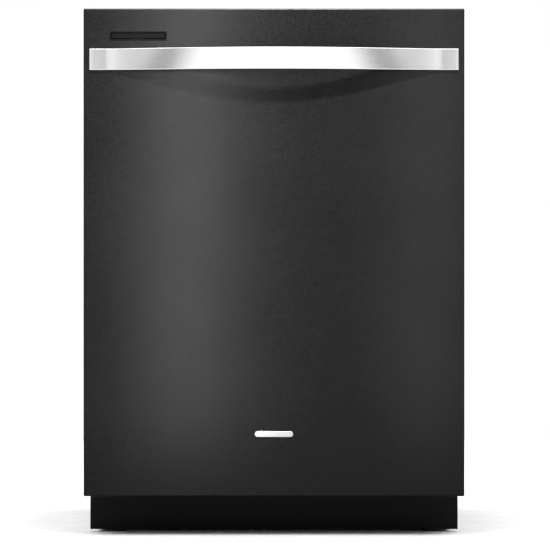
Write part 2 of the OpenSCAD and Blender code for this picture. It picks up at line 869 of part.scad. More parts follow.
module dispenser_body() {
    z0 = disp_z;
    y1 = inner_y + disp_proud;
    color([0.72, 0.73, 0.75]) difference() {
        span([-disp_w / 2, liner_y - 6, z0], [disp_w / 2, y1, z0 + disp_h]);
        span([cell_x, y1 - 26, z0 + 14], [cell_x + cell_w, y1 + 1, z0 + 14 + cell_h]);
        rod_y(y1 - 16, y1 + 1, cap_stem_r + run_fit, cap_x, z0 + 78);
        span([-disp_w / 2 + 3, liner_y - 7, z0 + 3], [disp_w / 2 - 3, y1 - 29, z0 + disp_h - 3]);
    }
    color([0.72, 0.73, 0.75]) for (s = [0, 1]) difference() {
        span([cell_x + s * (cell_w - 4), y1, z0 + 4],
             [cell_x + s * (cell_w - 4) + 4, y1 + 10, z0 + 12.5]);
        rod_x(cell_x - 1, cell_x + cell_w + 1, 1.5, y1 + 5.5, z0 + 8);
    }
}

module dispenser_lid() {
    y0 = inner_y + disp_proud + gap;
    z = disp_z + 8;
    color([0.62, 0.63, 0.66]) union() {
        span([cell_x - 3, y0, z + 6], [cell_x + cell_w + 3, y0 + lid_t, disp_z + 18 + cell_h]);
        span([cell_x + 4 + gap, y0, z - 2], [cell_x + cell_w - 4 - gap, y0 + lid_t, z + 7]);
        rod_x(cell_x + 4 + gap, cell_x + cell_w - 4 - gap, 2.6, y0 + 5.1, z);
        rod_x(cell_x + 0.2, cell_x + cell_w - 0.2, 1.5 - run_fit, y0 + 5.1, z);
        span([cell_x + 4 + gap, y0, z - 2], [cell_x + cell_w - 4 - gap, y0 + 5.1, z + 2]);
    }
}

module rinse_cap() {
    y1 = inner_y + disp_proud;
    z = disp_z + 78;
    color([0.2, 0.45, 0.7]) union() {
        rod_y(y1 - 14, y1 + gap + 1, cap_stem_r, cap_x, z);
        rod_y(y1 + gap, y1 + gap + 5, cap_r, cap_x, z);
        span([cap_x - 3, y1 + gap + 4, z - cap_r + 4], [cap_x + 3, y1 + gap + 9, z + cap_r - 4]);
    }
}

module liner_screws() {
    color("gray") for (s = [-1, 1], k = [0 : 2])
        rod_y(inner_y, inner_y + 2, 4, s * (tub_x - 14),
              liner_z + 50 + k * (console_z - liner_z - 100) / 2);
}

// Small blank plate low in the middle of the door
module badge() {
    color("gray") translate([0, face_y, toe_h + 99]) union() {
        span([-26, -0.6, -4.5], [26, 0, 4.5]);
        for (s = [-1, 1])
            rod_y(-0.6, 0, 4.5, s * 26, 0);
    }
}

// ---- Upper rack ----

module upper_rack() {
    color([0.6, 0.62, 0.65]) difference() {
        union() {
            wire_basket(up_rx, rack_front, rack_back, up_z, up_h);
            span([-up_rx, rack_front, shelf_z - wire / 2],
                 [-up_rx + wire, rack_back, shelf_z + wire / 2]);
            for (s = [-1, 1])
                span([-up_rx + wire / 2, tub_cy + s * (shelf_len / 2 - 10) - 5, shelf_z - 6],
                     [shelf_x + 5, tub_cy + s * (shelf_len / 2 - 10) + 5, shelf_z + 6]);
        }
        rod_y(tub_cy - shelf_len / 2 - 1, tub_cy + shelf_len / 2 + 1, shelf_rod + run_fit,
              shelf_x, shelf_z);
    }
}

module rack_slides() {
    z0 = rail_z + (rail_h - slide_h) / 2;
    color("silver") both_sides() union() {
        span([cav_x - rail_w - 2, rack_front + 6, z0], [cav_x - 4, rack_back - 12, z0 + slide_h]);
        for (y = [rack_front + 50, rack_back - 110])
            span([up_rx, y, z0], [cav_x - rail_w, y + 60, z0 + slide_h]);
    }
}

module manifold() {
    y1 = rack_back + 14 - 1.5;
    color("whitesmoke") difference() {
        union() {
            span([-14, tub_cy - 20, up_z - 20], [14, y1 - 14, up_z]);
            rod_y(y1 - 15, y1, dock_r + 2, 0, dock_z);
            rod_z(mid_arm_z - 5, up_z - 10, top_post_r, 0, tub_cy);
            rod_z(mid_arm_z - 5, mid_arm_z - gap, top_post_r + 4, 0, tub_cy);
        }
        rod_y(tub_cy, y1 + 1, dock_r - 3, 0, dock_z);
        rod_z(mid_arm_z - 6, up_z - 10, top_post_r - 3, 0, tub_cy);
    }
}

module middle_spray_arm() {
    spray_arm(mid_arm_z, mid_arm, 20, top_post_r, 34, 11);
}

module cup_shelf() {
    x0 = shelf_x;
    y0 = tub_cy - shelf_len / 2;
    clip = 10 + 5 + gap;
    color([0.6, 0.62, 0.65]) union() {
        rod_y(y0 + 2, y0 + shelf_len - 2, shelf_rod, x0, shelf_z);
        translate([x0 + 10, y0 + clip, shelf_z - wire / 2])
            lattice(shelf_w - 10, shelf_len - 2 * clip);
        for (y = [y0 + clip, y0 + shelf_len / 2 - 2, y0 + shelf_len - clip - wire])
            span([x0, y, shelf_z - wire / 2], [x0 + 12, y + wire, shelf_z + wire / 2]);
    }
}

// ---- Lower rack ----

module lower_rack() {
    tines_x = 8;
    rows = [0, 1, 2];
    color([0.6, 0.62, 0.65]) union() {
        wire_basket(low_rx, rack_front, rack_back, low_z, low_h);
        for (k = rows, i = [0 : tines_x - 1])
            translate([-low_rx + 40 + i * (2 * low_rx - 80) / (tines_x - 1) - wire / 2,
                       rack_back - 60 - k * pitch * 1.4, low_z + wire / 2])
                cube([wire, wire, tine_h]);
        for (k = rows)
            span([-low_rx + 1, rack_back - 60 - k * pitch * 1.4, low_z],
                 [low_rx - 1, rack_back - 60 - k * pitch * 1.4 + wire, low_z + wire]);
        for (s = [-1, 1], y = wheel_ys) {
            span([s > 0 ? low_rx - 5 : -low_rx, y - 10, wheel_z - 10],
                 [s > 0 ? low_rx : -low_rx + 5, y + 10, low_z + 50]);
            rod_x(s > 0 ? low_rx - 1 : -low_rx - wheel_w - 8,
                  s > 0 ? low_rx + wheel_w + 8 : -low_rx + 1, axle_r, y, wheel_z);
        }
    }
}

module wheel(s, y) {
    x0 = s > 0 ? low_rx + 5 : -low_rx - 5 - wheel_w;
    color([0.5, 0.52, 0.55]) difference() {
        union() {
            rod_x(x0, x0 + wheel_w, wheel_r - gap, y, wheel_z);
            rod_x(x0 - 1, x0 + wheel_w + 1, axle_r + 3, y, wheel_z);
        }
        rod_x(x0 - 2, x0 + wheel_w + 2, axle_r + run_fit, y, wheel_z);
    }
}

module silverware_basket() {
    cells = 6;
    wall = 2.5;
    y0 = rack_front + wire + 12;
    z0 = low_z + wire + gap;
    cell = (2 * basket_x - wall) / cells;
    color([0.4, 0.42, 0.45]) union() {
        difference() {
            span([-basket_x, y0, z0], [basket_x, y0 + basket_d, z0 + basket_h]);
            for (i = [0 : cells - 1])
                span([-basket_x + wall + i * cell, y0 + wall, z0 + wall],
                     [-basket_x + (i + 1) * cell, y0 + basket_d - wall, z0 + basket_h + 1]);
        }
        for (s = [-1, 1])
            span([s * cell - 4, y0 + basket_d / 2 - 5, z0 + basket_h - 20],
                 [s * cell + 4, y0 + basket_d / 2 + 5, z0 + basket_h + 22]);
        span([-cell - 4, y0 + basket_d / 2 - 5, z0 + basket_h + 14],
             [cell + 4, y0 + basket_d / 2 + 5, z0 + basket_h + 22]);
    }
}

tub();
insulation_wrap();
base_frame();
kick_plate();
counter_brackets();
hinge_brackets();
door_springs();
door_seal();
strike_plate();
rack_rails();
feed_tube();
heating_element();
sump();
filter_plate();
circulation_pump();
drain_pump();
inlet_valve();
drain_port();
junction_box();
filter_cup();
float();
lower_spray_arm();
top_spray_arm();
door_panel();
door_liner();
door_pad();
hinge_arms();
console();
display_window();
latch_body();
handle_bar();
handle_studs();
vent_bezel();
vent_duct();
dispenser_body();
liner_screws();
badge();
latch_claw();
dispenser_lid();
rinse_cap();
vent_flap();
upper_rack();
rack_slides();
manifold();
middle_spray_arm();
cup_shelf();
lower_rack();
silverware_basket();
for (i = [0 : 3])
    button(button_xs[i]);
for (i = [0 : 3])
    leg(leg_xs[i % 2], leg_ys[floor(i / 2)]);
for (i = [0 : 3])
    wheel(i % 2 == 0 ? -1 : 1, wheel_ys[floor(i / 2)]);
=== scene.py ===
"""Looks of a built in dishwasher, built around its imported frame.

Every length is in metres. Sizes and places come from the frame's own boxes.
"""
import sys
import json
import logging
import math
from dataclasses import dataclass, field
from enum import Enum
from typing import Any, Callable, Sequence

import bpy
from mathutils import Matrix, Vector


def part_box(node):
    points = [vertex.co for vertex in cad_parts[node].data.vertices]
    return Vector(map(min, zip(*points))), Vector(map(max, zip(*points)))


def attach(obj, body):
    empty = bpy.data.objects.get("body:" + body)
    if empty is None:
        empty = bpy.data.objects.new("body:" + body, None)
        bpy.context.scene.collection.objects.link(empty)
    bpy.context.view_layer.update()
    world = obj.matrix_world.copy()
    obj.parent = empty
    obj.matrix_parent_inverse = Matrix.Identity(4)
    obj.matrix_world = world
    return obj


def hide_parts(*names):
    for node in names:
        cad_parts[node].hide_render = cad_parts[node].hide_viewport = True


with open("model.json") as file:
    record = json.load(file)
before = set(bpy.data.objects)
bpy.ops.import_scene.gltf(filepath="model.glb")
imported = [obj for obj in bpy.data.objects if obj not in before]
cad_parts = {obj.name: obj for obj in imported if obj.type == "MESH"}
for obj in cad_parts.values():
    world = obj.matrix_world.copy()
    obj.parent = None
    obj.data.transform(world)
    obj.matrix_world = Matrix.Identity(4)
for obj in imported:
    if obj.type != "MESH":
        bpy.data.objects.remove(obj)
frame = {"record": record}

LOG = logging.getLogger("dishwasher")
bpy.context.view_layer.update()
MM = 0.001
WELD = 0.000002
QUARTER = math.pi / 2
CORNERS = ("front_left", "front_right", "back_left", "back_right")
Pick = Callable[[Vector, Vector], bool]


class Axis(Enum):
    """A direction of the frame, with the turn that lays a Z cylinder along it."""

    X = (0.0, QUARTER, 0.0)
    Y = (-QUARTER, 0.0, 0.0)
    Z = (0.0, 0.0, 0.0)

    @property
    def way(self) -> Vector:
        """Unit vector of the direction."""
        return Vector([1.0 if self.name == n else 0.0 for n in "XYZ"])


@dataclass(frozen=True)
class Box:
    """A box between two corners."""

    low: Vector
    high: Vector

    @classmethod
    def of(cls, node: str) -> "Box":
        """Box of a frame node at rest."""
        return cls.span(*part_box(node))

    @classmethod
    def span(cls, low: Sequence[float], high: Sequence[float]) -> "Box":
        """Box between two points."""
        return cls(Vector(low), Vector(high))

    @property
    def size(self) -> Vector:
        """Edge lengths."""
        return self.high - self.low

    @property
    def mid(self) -> Vector:
        """Middle point."""
        return (self.high + self.low) / 2

    def grown(self, x: float = 0.0, y: float = 0.0, z: float = 0.0) -> "Box":
        """The box with each side moved out by the given lengths."""
        step = Vector((x, y, z))
        return Box(self.low - step, self.high + step)


# ---- Shader graphs ----


class Value:
    """A shader number that takes part in plain arithmetic."""

    def __init__(self, graph: "Graph", socket: Any) -> None:
        """Wrap one output socket of a graph."""
        self.graph = graph
        self.socket = socket

    def _math(self, operation: str, left: Any, right: Any) -> "Value":
        """Add a Math node and return its value."""
        return self.graph.number("ShaderNodeMath", {"operation": operation}, {0: left, 1: right})

    def __add__(self, other: Any) -> "Value":
        """Sum."""
        return self._math("ADD", self, other)

    def __radd__(self, other: Any) -> "Value":
        """Sum with a plain number first."""
        return self._math("ADD", other, self)

    def __sub__(self, other: Any) -> "Value":
        """Difference."""
        return self._math("SUBTRACT", self, other)

    def __rsub__(self, other: Any) -> "Value":
        """Difference from a plain number."""
        return self._math("SUBTRACT", other, self)

    def __mul__(self, other: Any) -> "Value":
        """Product."""
        return self._math("MULTIPLY", self, other)

    def __rmul__(self, other: Any) -> "Value":
        """Product with a plain number first."""
        return self._math("MULTIPLY", other, self)


class Tree:
    """A node tree that is filled through one method."""

    def __init__(self, owner: Any) -> None:
        """Empty the tree of a material or a world.

        Args:
            owner: The material or the world.
        """
        owner.use_nodes = True
        self.tree = owner.node_tree
        self.tree.nodes.clear()

    def node(self, kind: str, settings: dict[str, Any], inputs: dict[Any, Any]) -> Any:
        """Add a node.

        Args:
            kind: The node's type.
            settings: Properties set before the sockets.
            inputs: Socket names or numbers, with a value, a Value or an output socket each.

        Returns:
            The new node.
        """
        made = self.tree.nodes.new(kind)
        for key, value in settings.items():
            setattr(made, key, value)
        for key, value in inputs.items():
            socket = made.inputs[key]
            if isinstance(value, Value):
                self.tree.links.new(value.socket, socket)
            elif isinstance(value, bpy.types.NodeSocket):
                self.tree.links.new(value, socket)
            else:
                socket.default_value = value
        return made


class Graph(Tree):
    """One material's node tree, ending in a Principled surface."""

    def __init__(self, name: str) -> None:
        """Start an empty material.

        Args:
            name: The material's name.
        """
        self.material = bpy.data.materials.new(name)
        super().__init__(self.material)
        self.surface = self.node("ShaderNodeBsdfPrincipled", {}, {})
        self.node("ShaderNodeOutputMaterial", {}, {"Surface": self.surface.outputs[0]})

    def number(self, kind: str, settings: dict[str, Any], inputs: dict[Any, Any]) -> Value:
        """Add a node and return its first output as a number."""
        return Value(self, self.node(kind, settings, inputs).outputs[0])

    def place(self, stretch: Sequence[float] = (1, 1, 1)) -> Any:
        """Object coordinates, stretched along the axes.

        Args:
            stretch: Scale along X, Y and Z.

        Returns:
            The vector socket.
        """
        here = self.node("ShaderNodeTexCoord", {}, {}).outputs["Object"]
        return self.node("ShaderNodeMapping", {}, {"Vector": here, "Scale": stretch}).outputs[0]

    def noise(self, scale: float, stretch: Sequence[float] = (1, 1, 1), detail: float = 2.0) -> Value:
        """Noise on the object.

        Args:
            scale: Cells per metre.
            stretch: Scale along X, Y and Z.
            detail: Octaves.

        Returns:
            A value around one half.
        """
        return self.number("ShaderNodeTexNoise", {}, {
            "Vector": self.place(stretch), "Scale": scale, "Detail": detail})

    def cells(self, scale: float) -> Value:
        """A random value for each small cell of the object."""
        made = self.node("ShaderNodeTexVoronoi", {"feature": "F1"}, {"Vector": self.place(), "Scale": scale})
        return self.number("ShaderNodeSeparateColor", {}, {0: made.outputs["Color"]})

    def mix(self, factor: Value, low: Sequence[float], high: Sequence[float]) -> Any:
        """Colour between two colours.

        Args:
            factor: Zero for the first colour, one for the second.
            low: First colour, three numbers.
            high: Second colour, three numbers.

        Returns:
            The colour socket.
        """
        made = self.node("ShaderNodeMix", {"data_type": "RGBA"}, {
            0: factor, 6: (*low, 1.0), 7: (*high, 1.0)})
        return made.outputs[2]

    def finish(self, colour: Any, rough: Any, height: Value, depth: float, **fixed: Any) -> Any:
        """Set the surface.

        Args:
            colour: Base colour socket.
            rough: Roughness value.
            height: Height of the grain, zero to one.
            depth: Depth of the grain, in metres.
            fixed: Sockets with one value all over, spaces written as underscores.

        Returns:
            The material.
        """
        bump = self.node("ShaderNodeBump", {}, {"Strength": 1.0, "Distance": depth, "Height": height})
        values = {"Base Color": colour, "Roughness": rough, "Normal": bump.outputs[0]}
        for key, value in values.items():
            source = value.socket if isinstance(value, Value) else value
            self.tree.links.new(source, self.surface.inputs[key])
        for key, value in fixed.items():
            self.surface.inputs[key.replace("_", " ")].default_value = value
        return self.material


def shade(colour: Sequence[float], factor: float) -> tuple[float, ...]:
    """A colour made lighter or darker by a factor."""
    return tuple(min(1.0, c * factor) for c in colour)


@dataclass(frozen=True)
class Finish:
    """A finish with its colour and gloss; each kind lays its own grain over them."""

    name: str
    colour: tuple[float, float, float]
    rough: float = 0.5

    def material(self) -> Any:
        """Build the material, once for each finish."""
        return bpy.data.materials.get(self.name) or self.build(Graph(self.name))

    def build(self, graph: Graph) -> Any:
        """Fill a new graph and return its material."""
        raise NotImplementedError


@dataclass(frozen=True)
class FlakeCoat(Finish):
    """Dark metallic coat: fine bright flake, faint clouds and a light orange peel."""

    flake: float = 900.0
    sparkle: float = 0.55
    metal: float = 0.75
    gloss: float = 0.07

    def build(self, graph: Graph) -> Any:
        """Mix flake, cloud and base.

        Args:
            graph: The new graph.

        Returns:
            The material.
        """
        flakes = graph.cells(self.flake)
        clouds = graph.noise(7.0, detail=3.0)
        tone = flakes * self.sparkle + clouds * 0.3
        colour = graph.mix(tone, shade(self.colour, 0.55), shade(self.colour, 1.9))
        rough = self.rough - 0.06 + 0.1 * graph.noise(300.0) + 0.04 * flakes
        peel = graph.noise(420.0, detail=1.0) * 0.5 + flakes * 0.5
        return graph.finish(colour, rough, peel, 0.00002, Metallic=self.metal, Specular_IOR_Level=self.gloss)


@dataclass(frozen=True)
class Brushed(Finish):
    """Metal with fine lines along one axis."""

    along: Axis = Axis.X
    depth: float = 0.00001
    metal: float = 1.0
    streak: float = 1.0

    def build(self, graph: Graph) -> Any:
        """Stretch noise along the brushing.

        Args:
            graph: The new graph.

        Returns:
            The material.
        """
        stretch = tuple(0.012 if self.along.name == n else 1.0 for n in "XYZ")
        lines = graph.noise(2600.0, stretch, 3.0)
        broad = graph.noise(380.0, stretch, 2.0)
        smudge = graph.noise(9.0, detail=4.0)
        tone = lines * 0.45 + broad * 0.35 + smudge * 0.2
        colour = graph.mix(tone, shade(self.colour, 1.0 - 0.18 * self.streak),
                           shade(self.colour, 1.0 + 0.16 * self.streak))
        rough = self.rough - 0.12 * self.streak + 0.16 * self.streak * broad + 0.08 * self.streak * smudge
        return graph.finish(colour, rough, lines, self.depth, Metallic=self.metal)


@dataclass(frozen=True)
class Moulded(Finish):
    """Moulded plastic or powder coat: fine texture and faint flow clouds."""

    grain: float = 900.0
    depth: float = 0.00004
    gloss: float = 0.5
    metal: float = 0.0

    def build(self, graph: Graph) -> Any:
        """Lay grain over faint clouds.

        Args:
            graph: The new graph.

        Returns:
            The material.
        """
        grain = graph.noise(self.grain, detail=3.0)
        clouds = graph.noise(14.0, detail=3.0)
        colour = graph.mix(grain * 0.35 + clouds * 0.65, shade(self.colour, 0.82), shade(self.colour, 1.2))
        rough = self.rough - 0.07 + 0.1 * clouds + 0.05 * grain
        return graph.finish(colour, rough, grain, self.depth, Specular_IOR_Level=self.gloss,
                            Metallic=self.metal)


@dataclass(frozen=True)
class Felt(Finish):
    """Pressed fibre: short fibres in two directions and soft dents."""

    fibre: float = 700.0

    def build(self, graph: Graph) -> Any:
        """Cross two stretched noises and add dents.

        Args:
            graph: The new graph.

        Returns:
            The material.
        """
        across = graph.noise(self.fibre, (1.0, 0.18, 0.18), 3.0)
        down = graph.noise(self.fibre, (0.2, 1.0, 1.0), 3.0)
        dents = graph.noise(26.0, detail=2.0)
        tone = across * 0.4 + down * 0.35 + dents * 0.25
        colour = graph.mix(tone, shade(self.colour, 0.5), shade(self.colour, 1.7))
        rough = 0.78 + 0.18 * across
        return graph.finish(colour, rough, across * 0.3 + down * 0.3 + dents * 0.4, 0.0009,
                            Specular_IOR_Level=0.25)


class Look:
    """The finishes of this machine."""

    DOOR = FlakeCoat("charcoal_metallic_coat", (0.0056, 0.0056, 0.0058), 0.34)
    BAR = Brushed("satin_bar_steel", (0.79, 0.795, 0.8), 0.2, along=Axis.X, streak=0.4)
    KICK = Moulded("black_powder_coat", (0.004, 0.004, 0.0042), 0.6, grain=1400.0, gloss=0.12)
    VENT = Moulded("vent_black_plastic", (0.0015, 0.0015, 0.0016), 0.55, grain=1500.0, gloss=0.02)
    BADGE = Brushed("badge_aluminium", (0.3, 0.3, 0.31), 0.34, along=Axis.X)
    TUB = Brushed("tub_stainless", (0.62, 0.625, 0.63), 0.27, along=Axis.Z)
    LINER = Brushed("liner_stainless", (0.6, 0.605, 0.61), 0.3, along=Axis.X)
    ZINC = Brushed("zinc_plated_steel", (0.5, 0.51, 0.53), 0.36, along=Axis.Y)
    RAIL = Brushed("bright_rail_steel", (0.66, 0.67, 0.68), 0.28, along=Axis.Y)
    WRAP = Felt("fibre_blanket", (0.035, 0.035, 0.037), 0.9)
    PAD = Felt("sound_pad_fibre", (0.05, 0.048, 0.045), 0.9, fibre=500.0)
    BASE = Moulded("base_polypropylene", (0.022, 0.022, 0.024), 0.5, grain=700.0, depth=0.00007)
    CONSOLE = Moulded("console_black", (0.012, 0.012, 0.013), 0.24, grain=1200.0, depth=0.00001)
    BUTTON = Moulded("button_grey", (0.11, 0.112, 0.118), 0.38, grain=1300.0)
    WINDOW = Moulded("smoked_window", (0.004, 0.004, 0.006), 0.08, grain=500.0, depth=0.000002)
    SEAL = Moulded("seal_rubber", (0.018, 0.018, 0.019), 0.68, grain=600.0, depth=0.00008, gloss=0.3)
    ARM = Moulded("arm_polypropylene", (0.27, 0.285, 0.31), 0.36, grain=800.0)
    TUBE = Moulded("natural_polypropylene", (0.63, 0.63, 0.6), 0.4, grain=700.0)
    ELEMENT = Brushed("heat_tinted_sheath", (0.16, 0.14, 0.125), 0.42, along=Axis.Z)
    PUMP = Moulded("filled_nylon", (0.075, 0.075, 0.08), 0.48, grain=600.0, depth=0.00008)
    FILTER = Moulded("filter_nylon", (0.4, 0.41, 0.42), 0.42, grain=2200.0, depth=0.0001)
    DISPENSER = Moulded("dispenser_plastic", (0.36, 0.37, 0.385), 0.34, grain=1000.0)
    CAP = Moulded("rinse_cap_blue", (0.035, 0.12, 0.27), 0.35, grain=1000.0)
    WIRE = Moulded("nylon_coated_wire", (0.2, 0.21, 0.225), 0.36, grain=500.0, depth=0.00006)
    WHEEL = Moulded("wheel_acetal", (0.16, 0.165, 0.18), 0.34, grain=900.0)
    BASKET = Moulded("basket_polypropylene", (0.13, 0.135, 0.15), 0.42, grain=900.0)
    FLOOR = Moulded("white_floor", (0.88, 0.88, 0.88), 0.9, grain=30.0, depth=0.00001, gloss=0.1)


# ---- Mesh work with Blender's operators ----


def activate(obj: Any) -> None:
    """Make one object the only selected one, and active.

    Args:
        obj: The object.
    """
    bpy.ops.object.select_all(action="DESELECT")
    obj.select_set(True)
    bpy.context.view_layer.objects.active = obj


def settle(obj: Any) -> Any:
    """Move the object's place, turn and scale into its mesh.

    Args:
        obj: The object.

    Returns:
        The object.
    """
    activate(obj)
    bpy.ops.object.transform_apply(location=True, rotation=True, scale=True)
    return obj


def added(name: str, operator: Callable[..., Any], **settings: Any) -> Any:
    """Add a primitive with nothing else selected, and settle it.

    Args:
        name: The new object's name.
        operator: The operator that adds it.
        settings: The operator's settings.

    Returns:
        The new object.
    """
    bpy.ops.object.select_all(action="DESELECT")
    operator(**settings)
    obj = bpy.context.active_object
    obj.name = name
    return settle(obj)


def block(name: str, box: Box) -> Any:
    """Add a box between its corners."""
    return added(name, bpy.ops.mesh.primitive_cube_add, size=1.0, location=box.mid, scale=box.size)


def drum(name: str, start: Sequence[float], axis: Axis, length: float, radius: float, sides: int = 40) -> Any:
    """Add a cylinder.

    Args:
        name: The new object's name.
        start: Middle of its first end.
        axis: Direction of its length.
        length: Its length.
        radius: Its radius.
        sides: Number of sides.

    Returns:
        The new object.
    """
    return added(name, bpy.ops.mesh.primitive_cylinder_add, vertices=sides, radius=radius, depth=length,
                 location=Vector(start) + axis.way * (length / 2), rotation=axis.value)


def choose(obj: Any, faces: Pick | None = None, edges: Pick | None = None) -> None:
    """Enter edit mode with the picked faces or edges selected, and nothing else.

    Args:
        obj: The object.
        faces: Picks a face by its centre and normal.
        edges: Picks an edge by its middle and direction.
    """
    activate(obj)
    mesh = obj.data
    bpy.ops.object.mode_set(mode="EDIT")
    bpy.ops.mesh.select_mode(type="FACE" if faces else "EDGE")
    bpy.ops.mesh.select_all(action="DESELECT")
    bpy.ops.object.mode_set(mode="OBJECT")
    if faces:
        for face in mesh.polygons:
            face.select = faces(face.center, face.normal)
    if edges:
        for edge in mesh.edges:
            a, b = (mesh.vertices[i].co for i in edge.vertices)
            edge.select = edges((a + b) / 2, (b - a).normalized())
    bpy.ops.object.mode_set(mode="EDIT")


def choose_all(obj: Any) -> None:
    """Enter edit mode with everything selected.

    Args:
        obj: The object.
    """
    activate(obj)
    bpy.ops.object.mode_set(mode="EDIT")
    bpy.ops.mesh.select_all(action="SELECT")


def leave() -> None:
    """Leave edit mode."""
    bpy.ops.object.mode_set(mode="OBJECT")


def open_up(obj: Any, faces: Pick) -> None:
    """Delete the faces that a test picks.

    Args:
        obj: The object.
        faces: Picks a face by its centre and normal.
    """
    choose(obj, faces=faces)
    bpy.ops.mesh.delete(type="FACE")
    leave()


def round_off(obj: Any, edges: Pick, width: float, segments: int) -> None:
    """Round the edges that a test picks.

    Args:
        obj: The object.
        edges: Picks an edge by its middle and direction.
        width: Width of the rounding.
        segments: Its steps.
    """
    choose(obj, edges=edges)
    bpy.ops.mesh.bevel(offset=width, segments=segments, affect="EDGES")
    leave()


def face_out() -> None:
    """Turn every face outwards in edit mode, and leave it."""
    bpy.ops.mesh.select_all(action="SELECT")
    bpy.ops.mesh.normals_make_consistent(inside=False)
    leave()


def modify(obj: Any, kind: str, **settings: Any) -> Any:
    """Add a modifier, set it and apply it.

    Args:
        obj: The object.
        kind: The modifier's type.
        settings: Its properties.

    Returns:
        The object.
    """
    activate(obj)
    modifier = obj.modifiers.new(kind.lower(), kind)
    for key, value in settings.items():
        setattr(modifier, key, value)
    bpy.ops.object.modifier_apply(modifier=modifier.name)
    return obj


def rounded(obj: Any, width: float, segments: int = 2, angle: float = 30.0) -> Any:
    """Round every edge sharper than an angle."""
    return modify(obj, "BEVEL", width=width, segments=segments, limit_method="ANGLE",
                  angle_limit=math.radians(angle), use_clamp_overlap=True)


def joined(name: str, parts: Sequence[Any]) -> Any:
    """Join objects into one.

    Args:
        name: Name of the result.
        parts: The objects, which are used up.

    Returns:
        The joined object.
    """
    bpy.ops.object.select_all(action="DESELECT")
    for part in parts:
        part.select_set(True)
    bpy.context.view_layer.objects.active = parts[0]
    if len(parts) > 1:
        bpy.ops.object.join()
    parts[0].name = name
    return parts[0]


def copied(obj: Any, step: Sequence[float]) -> Any:
    """Copy an object with its own mesh, moved by a step.

    Args:
        obj: The object.
        step: How far the copy moves.

    Returns:
        The copy.
    """
    activate(obj)
    bpy.ops.object.duplicate(linked=False)
    made = bpy.context.active_object
    made.location = Vector(step)
    return settle(made)


def repeated(obj: Any, steps: Sequence[Sequence[float]]) -> list[Any]:
    """Copy an object to each step and remove the first one.

    Args:
        obj: The object, which is used up.
        steps: How far each copy moves.

    Returns:
        The copies.
    """
    made = [copied(obj, step) for step in steps]
    bpy.data.objects.remove(obj, do_unlink=True)
    return made


def cut(obj: Any, cutter: Any) -> Any:
    """Cut one object out of another and remove the cutter.

    Args:
        obj: The object that is cut.
        cutter: The object that is taken away.

    Returns:
        The cut object.
    """
    modify(obj, "BOOLEAN", operation="DIFFERENCE", object=cutter, solver="EXACT")
    bpy.data.objects.remove(cutter, do_unlink=True)
    return obj


def move(step: Sequence[float]) -> None:
    """Move what is selected in edit mode."""
    bpy.ops.transform.translate(value=Vector(step))


def extrude(step: Sequence[float]) -> None:
    """Extrude what is selected in edit mode."""
    bpy.ops.mesh.extrude_region_move(TRANSFORM_OT_translate={"value": Vector(step)})


def wire(name: str, corners: Sequence[Sequence[float]], radius: float, bend: float = 0.0, sides: int = 8) -> Any:
    """Bend a round wire along a path.

    Args:
        name: The new object's name.
        corners: Corners of the path, ends included.
        radius: Radius of the wire.
        bend: Inner path radius at each corner.
        sides: Sides of the wire.

    Returns:
        The new object.
    """
    points = [Vector(corner) for corner in corners]
    ways = [(b - a).normalized() for a, b in zip(points, points[1:])]
    obj = added(name, bpy.ops.mesh.primitive_circle_add, vertices=sides, radius=radius, fill_type="NGON",
                location=points[0], rotation=ways[0].to_track_quat("Z", "X").to_euler())
    choose_all(obj)
    here = points[0]
    for corner, way, onward in zip(points[1:-1], ways, ways[1:]):
        turn = way.angle(onward)
        reach = bend * math.tan(turn / 2)
        extrude(corner - way * reach - here)
        axis = way.cross(onward).normalized()
        centre = corner - way * reach + axis.cross(way) * bend
        bpy.ops.mesh.spin(steps=5, angle=-turn, center=centre, axis=axis)
        here = corner + onward * reach
    extrude(points[-1] - here)
    face_out()
    return obj


def hoop(name: str, box: Box, radius: float, bend: float) -> Any:
    """Bend a closed level wire loop with rounded corners.

    Args:
        name: The new object's name.
        box: Box of the wire's middle line.
        radius: Radius of the wire.
        bend: Inner path radius at each corner.

    Returns:
        The new object.
    """
    low, high = box.low, box.high
    middle = (box.mid.x, low.y, low.z)
    corners = [(x, y, low.z) for x, y in ((high.x, low.y), (high.x, high.y), (low.x, high.y), (low.x, low.y))]
    return wire(name, [middle, *corners, middle], radius, bend)


def turned(name: str, base: Sequence[float], axis: Axis, profile: Sequence[tuple[float, float]],
           sides: int = 32) -> Any:
    """Turn a profile around an axis into a closed solid.

    Args:
        name: The new object's name.
        base: Point on the axis where the height is zero.
        axis: The axis.
        profile: Radius and height of each corner, from one end of the axis to the other.
        sides: Steps of the turn.

    Returns:
        The new object.
    """
    across = Axis.Z.way if axis is Axis.X else Axis.X.way
    spots = [Vector(base) + across * r + axis.way * h for r, h in profile]
    obj = added(name, bpy.ops.mesh.primitive_plane_add, size=MM, location=spots[0])
    activate(obj)
    bpy.ops.object.mode_set(mode="EDIT")
    bpy.ops.mesh.select_mode(type="VERT")
    bpy.ops.mesh.select_all(action="SELECT")
    bpy.ops.mesh.merge(type="CENTER")
    for a, b in zip(spots, spots[1:]):
        extrude(b - a)
    bpy.ops.mesh.select_all(action="SELECT")
    bpy.ops.mesh.spin(steps=sides, angle=math.tau, center=Vector(base), axis=axis.way)
    bpy.ops.mesh.select_all(action="SELECT")
    bpy.ops.mesh.remove_doubles(threshold=WELD)
    face_out()
    return obj


def rides_of(record: dict[str, Any]) -> dict[str, str]:
    """Body of each node in the record."""
    return {node: body for body, nodes in record["behaviour"]["bodies"].items() for node in nodes}


RIDES = rides_of(frame["record"])


